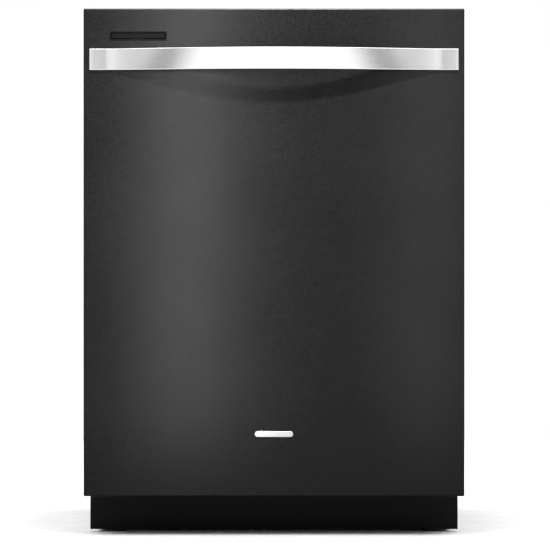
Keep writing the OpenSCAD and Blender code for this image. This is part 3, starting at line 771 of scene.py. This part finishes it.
def dress(obj: Any, node: str, finish: Finish, stands: bool = True, angle: float = 35.0) -> Any:
    """Finish a piece: shading, material, body and the node that it stands for.

    Args:
        obj: The piece.
        node: The frame node whose body it takes.
        finish: Its finish.
        stands: Whether it stands in for the node.
        angle: Edges sharper than this stay sharp, in degrees.

    Returns:
        The piece.
    """
    activate(obj)
    bpy.ops.object.shade_smooth_by_angle(angle=math.radians(angle))
    modify(obj, "WEIGHTED_NORMAL", weight=50, keep_sharp=True)
    obj.data.materials.clear()
    obj.data.materials.append(finish.material())
    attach(obj, RIDES[node])
    if stands:
        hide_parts(node)
    LOG.info("%s: %d faces", obj.name, len(obj.data.polygons))
    return obj


def clean_copy(node: str) -> Any:
    """Copy a frame node and merge its loose triangles into whole flat faces.

    Args:
        node: The frame node.

    Returns:
        The copy, without the node's own links.
    """
    activate(bpy.data.objects[node])
    bpy.ops.object.duplicate(linked=False)
    made = bpy.context.active_object
    for key in list(made.keys()):
        del made[key]
    made.parent = None
    made.name = node + "_body"
    choose_all(made)
    bpy.ops.mesh.remove_doubles(threshold=WELD)
    bpy.ops.mesh.dissolve_limited(angle_limit=math.radians(0.6))
    leave()
    return made


@dataclass(frozen=True)
class Plain:
    """A piece whose frame shape is kept, with its hard edges rounded."""

    node: str
    finish: Finish
    width: float = 0.0006
    segments: int = 2

    def build(self) -> Any:
        """Build and dress the piece."""
        piece = rounded(clean_copy(self.node), self.width, self.segments)
        return dress(piece, self.node, self.finish)


def keep(*plains: Plain) -> None:
    """Build the pieces whose frame shape is kept."""
    for plain in plains:
        plain.build()


@dataclass
class Handle:
    """Bowed flat bar whose upper edge leans out, on two studs."""

    thick: float = 0.004
    lean: float = 0.011
    pad: float = 0.032
    power: float = 1.2
    stations: int = 96
    round_edge: float = 0.0012
    box: Box = field(default_factory=lambda: Box.of("handle_bar"))

    def bow(self, x: float) -> float:
        """Distance from the door at a place along the bar, as a share of the middle's."""
        half = self.box.size.x / 2 - self.pad
        return 0.0 if abs(x) >= half else math.cos(QUARTER * x / half) ** self.power

    def bar(self) -> Any:
        """Bend the bar station by station, then round its edges.

        Returns:
            The bar.
        """
        out = self.box.size.y - self.lean - self.thick
        low, high = self.box.low, self.box.high
        bar = block("bar", Box.span((low.x, high.y - self.thick, low.z), high))
        choose(bar, edges=lambda mid, way: abs(way.x) > 0.9)
        bpy.ops.mesh.subdivide(number_cuts=self.stations - 1)
        leave()
        step = self.box.size.x / self.stations
        for i in range(1, self.stations):
            x = low.x + i * step
            share = self.bow(x)
            choose(bar, edges=lambda mid, way: abs(mid.x - x) < step / 9 and abs(way.x) < 0.5)
            move((0.0, -out * share, 0.0))
            leave()
            choose(bar, edges=lambda mid, way: abs(mid.x - x) < step / 9 and mid.z > high.z - MM / 9)
            move((0.0, -self.lean * share, 0.0))
            leave()
        return dress(rounded(bar, self.round_edge, 3), "handle_bar", Look.BAR)

    def build(self) -> None:
        """Build the bar and its studs."""
        self.bar()
        keep(Plain("handle_studs", Look.ZINC, 0.0004))


@dataclass
class DoorFront:
    """Folded outer skin of the door with its vent, badge and duct."""

    sheet: float = 0.0015
    fold: float = 0.0022
    top_fold: float = 0.008
    bottom_fold: float = 0.020
    vent_lip: float = 0.0012

    def skin(self) -> Any:
        """Fold the skin from a block and cut its openings.

        Returns:
            The skin.
        """
        box = Box.of("door_panel")
        vent = Box.of("vent_bezel").grown(x=-self.vent_lip, y=0.01, z=-self.vent_lip)
        skin = block("door_skin", box)
        round_off(skin, lambda mid, way: mid.y < box.low.y + MM or abs(way.y) > 0.9, self.fold, 4)
        open_up(skin, lambda mid, normal: normal.y > 0.9)
        modify(skin, "SOLIDIFY", thickness=self.sheet, offset=-1.0)
        inner = box.grown(x=-self.fold, y=0.0, z=MM)
        top = Box.span((inner.low.x, box.low.y + self.top_fold, box.high.z - 2 * MM), inner.high)
        bottom = Box.span((inner.low.x, box.low.y + self.bottom_fold, inner.low.z),
                          (inner.high.x, inner.high.y, box.low.z + 2 * MM))
        for name, hole in (("top_cut", top.grown(y=MM)), ("bottom_cut", bottom.grown(y=MM)), ("vent_cut", vent)):
            cut(skin, block(name, hole))
        return dress(skin, "door_panel", Look.DOOR)

    def build(self) -> None:
        """Build the outer front of the door."""
        self.skin()
        keep(Plain("vent_bezel", Look.VENT, 0.0003), Plain("badge", Look.BADGE, 0.00025),
             Plain("vent_duct", Look.VENT), Plain("vent_flap", Look.FILTER, 0.0003),
             Plain("door_pad", Look.PAD, 0.002))


@dataclass
class DoorInner:
    """Liner, console, buttons, dispenser and latch."""

    def build(self) -> None:
        """Build the inner side and the top edge of the door."""
        keep(Plain("door_liner", Look.LINER, 0.0008), Plain("console", Look.CONSOLE, 0.0008),
             Plain("display_window", Look.WINDOW, 0.0003),
             *(Plain(f"{use}_button", Look.BUTTON, 0.0008) for use in ("power", "cycle", "options", "start")),
             Plain("dispenser_body", Look.DISPENSER, 0.001), Plain("dispenser_lid", Look.DISPENSER, 0.0008),
             Plain("rinse_cap", Look.CAP, 0.0009), Plain("latch_body", Look.CONSOLE),
             Plain("latch_claw", Look.ZINC, 0.0003), Plain("liner_screws", Look.ZINC, 0.0005),
             Plain("hinge_arms", Look.ZINC, 0.0004))


@dataclass
class Base:
    """Base frame with its legs, kick plate, hinges, pumps and connections."""

    coil_turns: int = 30
    coil_wire: float = 0.0014
    thread_pitch: float = 0.003
    thread_depth: float = 0.0008
    foot_height: float = 0.007
    collar_height: float = 0.0136
    leg_radius: float = 0.005
    ribs: int = 7
    rib_start: float = 0.006
    rib_width: float = 0.003
    rib_height: float = 0.0016

    def spring(self, name: str, box: Box) -> Any:
        """Wind one closed spring along Y inside a box.

        Args:
            name: The new object's name.
            box: The coil's box.

        Returns:
            The spring.
        """
        radius = box.size.z / 2 - self.coil_wire
        coil = added(name, bpy.ops.mesh.primitive_circle_add, vertices=6, radius=self.coil_wire,
                     fill_type="NOTHING", location=(radius, 0.0, 0.0))
        pitch = (box.size.y - 4 * self.coil_wire) / self.coil_turns
        modify(coil, "SCREW", axis="Y", screw_offset=pitch, iterations=self.coil_turns, steps=14,
               render_steps=14, use_smooth_shade=True)
        coil.location = (box.mid.x, box.low.y + 2 * self.coil_wire, box.mid.z)
        settle(coil)
        choose(coil, edges=lambda mid, way: False)
        bpy.ops.mesh.select_mode(type="VERT")
        bpy.ops.mesh.select_non_manifold()
        bpy.ops.mesh.edge_face_add()
        face_out()
        return coil

    def springs(self) -> Any:
        """Wind both door springs, with an end plug each.

        Returns:
            The springs.
        """
        box = Box.of("door_springs")
        width = box.size.z
        parts = []
        for side, x in (("left", box.low.x), ("right", box.high.x - width)):
            own = Box.span((x, *box.low.yz), (x + width, *box.high.yz))
            parts.append(self.spring("spring_" + side, own))
            parts.append(drum("hook_" + side, (own.mid.x, own.low.y, own.mid.z), Axis.Y, own.size.y, width / 5, 12))
        return dress(joined("door_springs_body", parts), "door_springs", Look.ZINC)

    def leg(self, node: str) -> Any:
        """Turn one levelling leg: foot, hexagon collar and threaded stem.

        Args:
            node: The frame node.

        Returns:
            The leg.
        """
        box = Box.of(node)
        base = (box.mid.x, box.mid.y, box.low.z)
        foot, top = box.size.x / 2, box.size.z
        start = self.collar_height
        turns = int((top - start) / self.thread_pitch)
        profile = [(0.0, 0.0), (foot * 0.94, 0.0), (foot, 0.0015), (foot, self.foot_height * 0.6),
                   (foot * 0.8, self.foot_height), (self.leg_radius * 2, self.foot_height)]
        root = self.leg_radius - self.thread_depth
        for i in range(turns):
            valley = start + i * self.thread_pitch
            profile += [(root, valley), (self.leg_radius, valley + self.thread_pitch / 2)]
        profile += [(root, top), (0.0, top)]
        stem = turned(node + "_stem", base, Axis.Z, profile, 28)
        collar = drum(node + "_collar", (base[0], base[1], box.low.z + self.foot_height * 0.9), Axis.Z,
                      self.collar_height - self.foot_height * 0.9, self.leg_radius * 2, 6)
        return dress(joined(node + "_body", [stem, rounded(collar, 0.0005)]), node, Look.BASE)

    def pump(self, node: str) -> Any:
        """A pump's frame shape with cooling ribs around its motor.

        Args:
            node: The frame node.

        Returns:
            The pump.
        """
        drains = node == "drain_pump"
        body = rounded(clean_copy(node), 0.0016, 3)
        box = Box.of(node)
        radius = box.size.z / 2
        middle = box.high.x - radius if drains else box.low.x + radius
        step = min(0.05, box.size.y * 0.55) / self.ribs
        outer = radius * (0.96 if drains else 0.8) + self.rib_height
        rings = [rounded(drum("rib", (middle, box.low.y + self.rib_start + i * step, box.mid.z), Axis.Y,
                              self.rib_width, outer), 0.0006) for i in range(self.ribs)]
        return dress(joined(node + "_body", [body, *rings]), node, Look.PUMP)

    def build(self) -> None:
        """Build the base."""
        keep(Plain("base_frame", Look.BASE, 0.001), Plain("kick_plate", Look.KICK, 0.0005),
             Plain("hinge_brackets", Look.ZINC, 0.0004), Plain("sump", Look.PUMP),
             Plain("inlet_valve", Look.TUBE, 0.001), Plain("drain_port", Look.PUMP, 0.001),
             Plain("junction_box", Look.ZINC, 0.001))
        self.springs()
        for node in ("circulation_pump", "drain_pump"):
            self.pump(node)
        for corner in CORNERS:
            self.leg("leg_" + corner)


@dataclass
class Blanket:
    """Insulation blanket, quilted and held by two straps."""

    thick: float = 0.010
    corner: float = 0.012
    cells: int = 26
    puff: float = 0.006
    strap_heights: tuple[float, ...] = (0.3, 0.72)
    strap_width: float = 0.016

    def blanket(self) -> Any:
        """Fold the blanket from a block, dent it softly and give it thickness.

        Returns:
            The blanket.
        """
        box = Box.of("insulation_wrap")
        wrap = block("insulation_wrap_body", box)
        open_up(wrap, lambda mid, normal: normal.y < -0.9 or normal.z < -0.9)
        choose_all(wrap)
        bpy.ops.mesh.subdivide(number_cuts=self.cells)
        leave()
        round_off(wrap, lambda mid, way: sum((
            abs(abs(mid.x) - box.high.x) < MM, abs(mid.y - box.high.y) < MM,
            abs(mid.z - box.high.z) < MM)) > 1, self.corner, 3)
        dents = bpy.data.textures.new("dents", "CLOUDS")
        dents.noise_scale = 0.055
        modify(wrap, "DISPLACE", texture=dents, texture_coords="LOCAL", strength=self.puff, mid_level=0.62)
        modify(wrap, "SOLIDIFY", thickness=self.thick - self.puff / 2, offset=-1.0)
        return dress(wrap, "insulation_wrap", Look.WRAP, angle=50.0)

    def strap(self, share: float) -> Any:
        """Lay one flat strap around three sides.

        Args:
            share: Its height as a share of the blanket's.

        Returns:
            The strap.
        """
        box = Box.of("insulation_wrap").grown(x=0.0015, y=0.0015)
        z = box.low.z + share * box.size.z
        strap = block("strap", Box.span((box.low.x, box.low.y + self.strap_width, z),
                                        (box.high.x, box.high.y, z + self.strap_width)))
        open_up(strap, lambda mid, normal: normal.y < -0.9 or abs(normal.z) > 0.9)
        round_off(strap, lambda mid, way: abs(way.z) > 0.9 and mid.y > box.high.y - MM, self.corner, 3)
        modify(strap, "SOLIDIFY", thickness=0.0012, offset=-1.0)
        strap.name = f"strap_{int(share * 100)}"
        return dress(strap, "insulation_wrap", Look.ZINC, stands=False)

    def build(self) -> None:
        """Build the blanket and its straps."""
        self.blanket()
        for share in self.strap_heights:
            self.strap(share)


@dataclass
class Tub:
    """Tub with what is fixed inside it."""

    radius: float = 0.011
    wrap_depth: float = 0.012
    nozzle: float = 0.0032

    def tub(self) -> Any:
        """Round the long corners of the frame's tub, inside and outside.

        Returns:
            The tub.
        """
        tub = clean_copy("tub")
        box = Box.of("tub")
        wrap = Box.of("insulation_wrap")
        back, side, top = box.high.y, wrap.high.x - self.wrap_depth, wrap.high.z - self.wrap_depth
        ledge = wrap.low.z
        near = 3 * MM

        def corner(mid: Vector, way: Vector) -> bool:
            """Pick the long edges in the tub's four outer corners.

            Args:
                mid: The edge's middle.
                way: Its direction.

            Returns:
                Whether the edge is one of them.
            """
            long = abs(way.y) > 0.99 and abs(mid.y) < back * 0.8
            wide = abs(abs(mid.x) - side) < near
            return long and wide and (abs(mid.z - top) < near or abs(mid.z - ledge) < near)

        round_off(tub, corner, self.radius, 5)
        return dress(rounded(tub, 0.0004), "tub", Look.TUB)

    def arm(self, node: str, nozzles: int) -> Any:
        """A spray arm's frame shape, rounded, with raised nozzles along its blades.

        Args:
            node: The frame node.
            nozzles: Nozzles on each blade.

        Returns:
            The arm.
        """
        box = Box.of(node)
        parts = [rounded(clean_copy(node), 0.003, 3)]
        blade = box.high.z - 0.003
        reach = box.size.x / 2
        rise, floor = 0.0022, 0.0006
        profile = [(0.0, 0.0), (self.nozzle * 1.7, 0.0), (self.nozzle * 1.3, rise), (self.nozzle * 0.7, rise),
                   (self.nozzle * 0.6, floor), (0.0, floor)]
        for i in range(nozzles):
            for side in (-1, 1):
                x = box.mid.x + side * reach * (0.22 + 0.7 * i / (nozzles - 1))
                y = box.mid.y + side * (box.size.y * 0.16 if i % 2 else -box.size.y * 0.12)
                parts.append(turned("nozzle", (x, y, blade - 0.0005), Axis.Z, profile, 12))
        return dress(joined(node + "_body", parts), node, Look.ARM)

    def float_dome(self) -> Any:
        """Turn the float: domed cap on a stem.

        Returns:
            The float.
        """
        box = Box.of("float")
        radius, top = box.size.x / 2, box.size.z
        stem, half, steps = 0.005, 0.012, 6
        cap = top - 2 * half
        profile = [(0.0, 0.0), (0.0044, 0.0), (stem, 0.0006), (stem, cap), (radius - MM, cap),
                   (radius, cap + MM), (radius, cap + half)]
        for i in range(1, steps + 1):
            turn = QUARTER * i / steps
            profile.append((radius * math.cos(turn), cap + half + half * math.sin(turn)))
        piece = turned("float_body", (box.mid.x, box.mid.y, box.low.z), Axis.Z, profile, 36)
        return dress(piece, "float", Look.TUBE)

    def build(self) -> None:
        """Build the tub."""
        self.tub()
        keep(Plain("counter_brackets", Look.ZINC, 0.0004), Plain("door_seal", Look.SEAL, 0.002, 3),
             Plain("strike_plate", Look.ZINC, 0.0004), Plain("rack_rails", Look.RAIL, 0.0004),
             Plain("feed_tube", Look.TUBE, 0.002, 3), Plain("heating_element", Look.ELEMENT, 0.0004),
             Plain("filter_plate", Look.TUB, 0.0003), Plain("filter_cup", Look.FILTER, 0.0005))
        self.float_dome()
        for level, nozzles in (("lower", 7), ("top", 4), ("middle", 6)):
            self.arm(level + "_spray_arm", nozzles)


@dataclass
class WireRack:
    """A dish rack of round coated wire."""

    node: str
    gauge: float = 0.0019
    rim: float = 0.0026
    bend: float = 0.012
    loop_bend: float = 0.02
    pitch: float = 0.05
    tine_rows: tuple[float, ...] = ()
    tine_height: float = 0.06
    tine_pitch: float = 0.034

    def cage(self, low: Vector, high: Vector) -> list[Any]:
        """Bend the wires of floor and walls, and the level loops.

        Args:
            low: Lowest corner of the wire lines.
            high: Highest corner of the wire lines.

        Returns:
            The wires.
        """
        size = high - low
        rows, columns = round(size.y / self.pitch), round(size.x / self.pitch)
        across = wire("across", [(low.x, low.y, high.z), low, (high.x, low.y, low.z), (high.x, low.y, high.z)],
                      self.gauge, self.bend)
        parts = repeated(across, [(0.0, i * size.y / rows, 0.0) for i in range(1, rows)])
        floor = low.z + 2 * self.gauge
        along = wire("along", [(low.x, low.y, high.z), (low.x, low.y, floor), (low.x, high.y, floor),
                               (low.x, high.y, high.z)], self.gauge, self.bend)
        parts += repeated(along, [(i * size.x / columns, 0.0, 0.0) for i in range(1, columns)])
        for share, radius in ((1.0, self.rim), (0.5, self.gauge), (0.12, self.gauge)):
            z = low.z + share * size.z
            parts.append(hoop("loop", Box.span((low.x, low.y, z), (high.x, high.y, z)), radius, self.loop_bend))
        return parts

    def tines(self, low: Vector, high: Vector) -> list[Any]:
        """Stand rows of bent tines on the floor.

        Args:
            low: Lowest corner of the wire lines.
            high: Highest corner of the wire lines.

        Returns:
            The tines and their carrier wires.
        """
        parts = []
        count = int((high.x - low.x - 0.06) / self.tine_pitch)
        start = (high.x + low.x - (count - 1) * self.tine_pitch) / 2
        base = low.z + 3 * self.gauge
        for y in self.tine_rows:
            parts.append(wire("carrier", [(low.x, y, base), (high.x, y, base)], self.gauge))
            tine = wire("tine", [(start, y, base), (start, y, base + self.tine_height * 0.75),
                                 (start, y + 0.006, base + self.tine_height)], self.gauge, 0.01, 6)
            parts += repeated(tine, [(i * self.tine_pitch, 0.0, 0.0) for i in range(count)])
        return parts

    def fittings(self, box: Box) -> list[Any]:
        """Pieces of the frame node other than wires."""
        return []

    def build(self) -> Any:
        """Build and dress the rack.

        Returns:
            The rack.
        """
        box = self.line_box()
        parts = self.cage(box.low, box.high) + self.tines(box.low, box.high) + self.fittings(box)
        return dress(joined(self.node + "_body", parts), self.node, Look.WIRE, angle=50.0)

    def line_box(self) -> Box:
        """Box of the wires' middle lines."""
        return Box.of(self.node).grown(x=-self.rim, y=-self.rim, z=-self.rim)


@dataclass
class UpperRack(WireRack):
    """Upper rack with the hinge blocks of its cup shelf."""

    rod: float = 0.0025
    bore: float = 0.0026
    inset: float = 0.008
    half: float = 0.005
    rise: float = 0.006

    def fittings(self, box: Box) -> list[Any]:
        """Two blocks that hold the shelf's rod.

        Args:
            box: Box of the wires' middle lines.

        Returns:
            The blocks.
        """
        shelf = Box.of("cup_shelf")
        x, z = shelf.low.x + self.rod, shelf.mid.z
        half, rise = self.half, self.rise
        parts = []
        for y in (shelf.low.y + self.inset, shelf.high.y - self.inset):
            holder = block("holder", Box.span((box.low.x - MM, y - half, z - rise), (x + half, y + half, z + rise)))
            bore = drum("bore", (x, y - 2 * half, z), Axis.Y, 4 * half, self.bore, 24)
            parts.append(rounded(cut(holder, bore), 0.0008))
        return parts


@dataclass
class LowerRack(WireRack):
    """Lower rack with the plates and axles of its wheels."""

    hub_gap: float = 0.0048
    plate: float = 0.005
    plate_half: float = 0.01
    plate_rise: float = 0.06
    axle: float = 0.004
    axle_spare: float = 0.011

    def line_box(self) -> Box:
        """Box of the wires' middle lines, without axles and plates.

        Returns:
            The box.
        """
        rack, wheel = Box.of(self.node), Box.of("wheel_front_left")
        side = wheel.high.x - self.hub_gap + MM
        return Box.span((side, rack.low.y + self.rim, wheel.high.z - 2 * self.hub_gap + self.rim),
                        (-side, rack.high.y - self.rim, rack.high.z - self.rim))

    def fittings(self, box: Box) -> list[Any]:
        """A plate and an axle at each wheel.

        Args:
            box: Box of the wires' middle lines.

        Returns:
            The plates and axles.
        """
        parts = []
        for corner in CORNERS:
            wheel = Box.of("wheel_" + corner)
            side = 1 if wheel.mid.x > 0 else -1
            inner = side * (box.high.x + self.rim)
            xs = sorted((inner, inner - side * self.plate))
            y, z, half = wheel.mid.y, wheel.mid.z, self.plate_half
            plate = block("plate", Box.span((xs[0], y - half, z - half), (xs[1], y + half, z + self.plate_rise)))
            reach = wheel.size.x + self.axle_spare
            start = inner - MM if side > 0 else inner - reach
            axle = drum("axle", (start, y, z), Axis.X, reach, self.axle, 24)
            parts += [rounded(plate, 0.0012), rounded(axle, 0.0006)]
        return parts


@dataclass
class Racks:
    """Both racks and what rides on them."""

    spokes: int = 6
    hub: float = 0.007
    bore: float = 0.00406
    tread: float = 0.0035
    window: float = 0.0034
    cells: int = 6
    slot: float = 0.0055
    slot_rows: int = 5
    slot_columns: int = 5
    slot_margin: float = 0.028
    shelf_rod: float = 0.0025
    shelf_wires: int = 9
    gauge: float = 0.0019

    def wheel(self, node: str) -> Any:
        """Turn one wheel with a grooved tread and cut it between its spokes.

        Args:
            node: The frame node.

        Returns:
            The wheel.
        """
        box = Box.of(node)
        outer, width = box.size.z / 2, box.size.x
        hub, bore, rim = self.hub, self.bore, outer - self.tread
        near = [(bore, 0.0), (hub, 0.0), (hub, 4 * MM), (rim, 4 * MM), (rim, 1.5 * MM), (outer - MM, MM),
                (outer, 2 * MM)]
        profile = near + [(radius, width - height) for radius, height in reversed(near)] + near[:1]
        wheel = turned(node + "_body", (box.low.x, box.mid.y, box.mid.z), Axis.X, profile, 40)
        ring = (hub + rim) / 2
        for i in range(self.spokes):
            turn = math.tau * i / self.spokes
            hole = drum("hole", (box.low.x - 0.01, box.mid.y + ring * math.cos(turn),
                                 box.mid.z + ring * math.sin(turn)), Axis.X, width + 0.02, self.window, 16)
            cut(wheel, hole)
        return dress(wheel, node, Look.WHEEL)

    def basket(self) -> Any:
        """The frame's silverware basket with slots through its walls.

        Returns:
            The basket.
        """
        basket = clean_copy("silverware_basket")
        box = Box.of("silverware_basket")
        top = box.high.z - self.slot_margin
        cell = box.size.x / self.cells
        pitch = cell / (self.slot_columns + 1)
        rise = (top - box.low.z) / (self.slot_rows + 0.2)
        first = box.low.z + 0.006
        one = block("slot", Box.span((0.0, box.low.y - 0.01, 0.0), (self.slot, box.high.y + 0.01, rise * 0.7)))
        cutters = repeated(one, [
            (box.low.x + c * cell + (i + 1) * pitch - self.slot / 2, 0.0, first + k * rise)
            for c in range(self.cells) for i in range(self.slot_columns) for k in range(self.slot_rows)])
        cut(basket, joined("slots", cutters))
        return dress(rounded(basket, 0.0004, 1), "silverware_basket", Look.BASKET)

    def shelf(self) -> Any:
        """Bend the cup shelf from round wire on its rod.

        Returns:
            The shelf.
        """
        box = Box.of("cup_shelf")
        rod, z, gauge, count = box.low.x + self.shelf_rod, box.mid.z, self.gauge, self.shelf_wires
        parts = [drum("rod", (rod, box.low.y, z), Axis.Y, box.size.y, self.shelf_rod, 20)]
        inner = Box.span((rod + 0.012, box.low.y + 0.016, z), (box.high.x - gauge, box.high.y - 0.016, z))
        low, high = inner.low, inner.high
        parts.append(hoop("shelf_loop", inner, 0.0022, 0.01))
        bar = wire("shelf_wire", [(rod, low.y, z), (high.x, low.y, z)], gauge)
        parts += repeated(bar, [(0.0, (i + 0.5) * inner.size.y / count, 0.0) for i in range(count)])
        for share in (0.33, 0.66):
            x = low.x + share * inner.size.x
            parts.append(wire("shelf_run", [(x, low.y, z), (x, high.y, z)], gauge))
        return dress(joined("cup_shelf_body", parts), "cup_shelf", Look.WIRE, angle=50.0)

    def build(self) -> None:
        """Build the racks."""
        upper, lower = Box.of("upper_rack"), Box.of("lower_rack")
        UpperRack("upper_rack", tine_rows=tuple(upper.low.y + 0.1 + k * 0.13 for k in range(3)),
                  tine_height=0.045).build()
        LowerRack("lower_rack", tine_rows=tuple(lower.high.y - 0.058 - k * 0.07 for k in range(3)),
                  tine_height=0.085).build()
        keep(Plain("rack_slides", Look.RAIL, 0.0005), Plain("manifold", Look.TUBE, 0.0015))
        self.shelf()
        self.basket()
        for corner in CORNERS:
            self.wheel("wheel_" + corner)


@dataclass
class Studio:
    """Camera, white surroundings and lights."""

    distance: float = 5.0
    span: float = 0.8748
    centre_x: float = 0.0016
    centre_z: float = 0.4141
    sensor: float = 36.0
    fill: float = 0.3
    ground: float = 2.6
    box: Box = field(default_factory=lambda: Box.of("door_panel"))

    def camera(self) -> None:
        """Stand the camera in front of the door."""
        data = bpy.data.cameras.new("camera")
        data.sensor_width = self.sensor
        data.lens = self.sensor * self.distance / self.span
        camera = bpy.data.objects.new("camera", data)
        bpy.context.scene.collection.objects.link(camera)
        camera.location = (self.centre_x, self.box.low.y - self.distance, self.centre_z)
        camera.rotation_euler = (QUARTER, 0.0, 0.0)
        bpy.context.scene.camera = camera

    def world(self) -> None:
        """White to look at and softer grey for light and reflections."""
        world = bpy.data.worlds.new("surround")
        bpy.context.scene.world = world
        tree = Tree(world)
        seen = tree.node("ShaderNodeLightPath", {}, {}).outputs["Is Camera Ray"]
        greys = [tree.node("ShaderNodeBackground", {}, {"Color": (grey, grey, grey, 1.0)}).outputs[0]
                 for grey in (self.fill, 1.0)]
        mixed = tree.node("ShaderNodeMixShader", {}, {0: seen, 1: greys[0], 2: greys[1]})
        tree.node("ShaderNodeOutputWorld", {}, {"Surface": mixed.outputs[0]})

    def panel(self, name: str, place: Sequence[float], aim: Sequence[float], size: tuple[float, float],
              glow: float, lit: Sequence[str] = (), spread: float = 180.0) -> None:
        """Hang a soft light that the camera doesn't see.

        Args:
            name: The light's name.
            place: Its middle.
            aim: The point that it faces.
            size: Width and height.
            glow: Its brightness to look at.
            lit: Pieces that it lights; empty for all.
            spread: Width of its beam, in degrees.
        """
        data = bpy.data.lights.new(name, "AREA")
        data.shape = "RECTANGLE"
        data.size, data.size_y = size
        data.energy = glow * math.pi * size[0] * size[1]
        data.spread = math.radians(spread)
        lamp = bpy.data.objects.new(name, data)
        bpy.context.scene.collection.objects.link(lamp)
        lamp.location = place
        lamp.rotation_euler = (Vector(aim) - Vector(place)).to_track_quat("-Z", "Y").to_euler()
        lamp.visible_camera = False
        if lit:
            group = bpy.data.collections.new(name + "_lit")
            for piece in lit:
                group.objects.link(bpy.data.objects[piece])
            lamp.light_linking.receiver_collection = group

    def floor(self) -> None:
        """Lay a white floor that catches the contact shadow."""
        floor = block("floor", Box.span((-self.ground, -self.ground, -0.01), (self.ground, self.ground, 0.0)))
        activate(floor)
        floor.data.materials.append(Look.FLOOR.material())

    def build(self) -> None:
        """Set the whole studio."""
        self.camera()
        self.world()
        self.floor()
        face = self.box.low.y
        bar = Box.of("handle_bar")
        z = bar.mid.z
        front = ("door_skin", "vent_bezel_body", "badge_body")
        self.panel("overhead", (0.0, -0.3, 4.5), (0.0, -0.3, 0.0), (6.0, 6.0), 4.5)
        self.panel("key", (0.08, face - 1.23, z + 1.82), (0.0, face, z), (0.16, 0.16), 330.0, front, 40.0)
        self.panel("strip_left", (-0.15, face - 0.5, 0.6), (-0.15, face, 0.52), (0.06, 0.98), 48.0, front)
        self.panel("strip_right", (0.275, face - 0.5, 0.6), (0.275, face, 0.52), (0.05, 0.98), 21.0, front)
        for side in (-1, 1):
            place = Vector((side * 0.5, face - 1.0, z + 0.04))
            self.panel(f"card_{side}", place, place + Axis.Y.way, (0.36, 0.36), 0.88, ("bar",))
        place = Vector((-0.09, face - 1.0, 0.14))
        self.panel("card_low", place, place + Axis.Y.way, (0.7, 0.24), 0.38, ("bar",))
        bpy.context.scene.view_settings.view_transform = "Standard"


def main() -> None:
    """Build the machine, one sub-assembly after another, and the studio."""
    logging.basicConfig(level=logging.INFO, format="%(message)s", stream=sys.stdout)
    for part in (DoorFront(), Handle(), DoorInner(), Base(), Tub(), Blanket(), Racks(), Studio()):
        part.build()
        LOG.info("built %s", type(part).__name__)


if __name__ == "__main__":
    main()
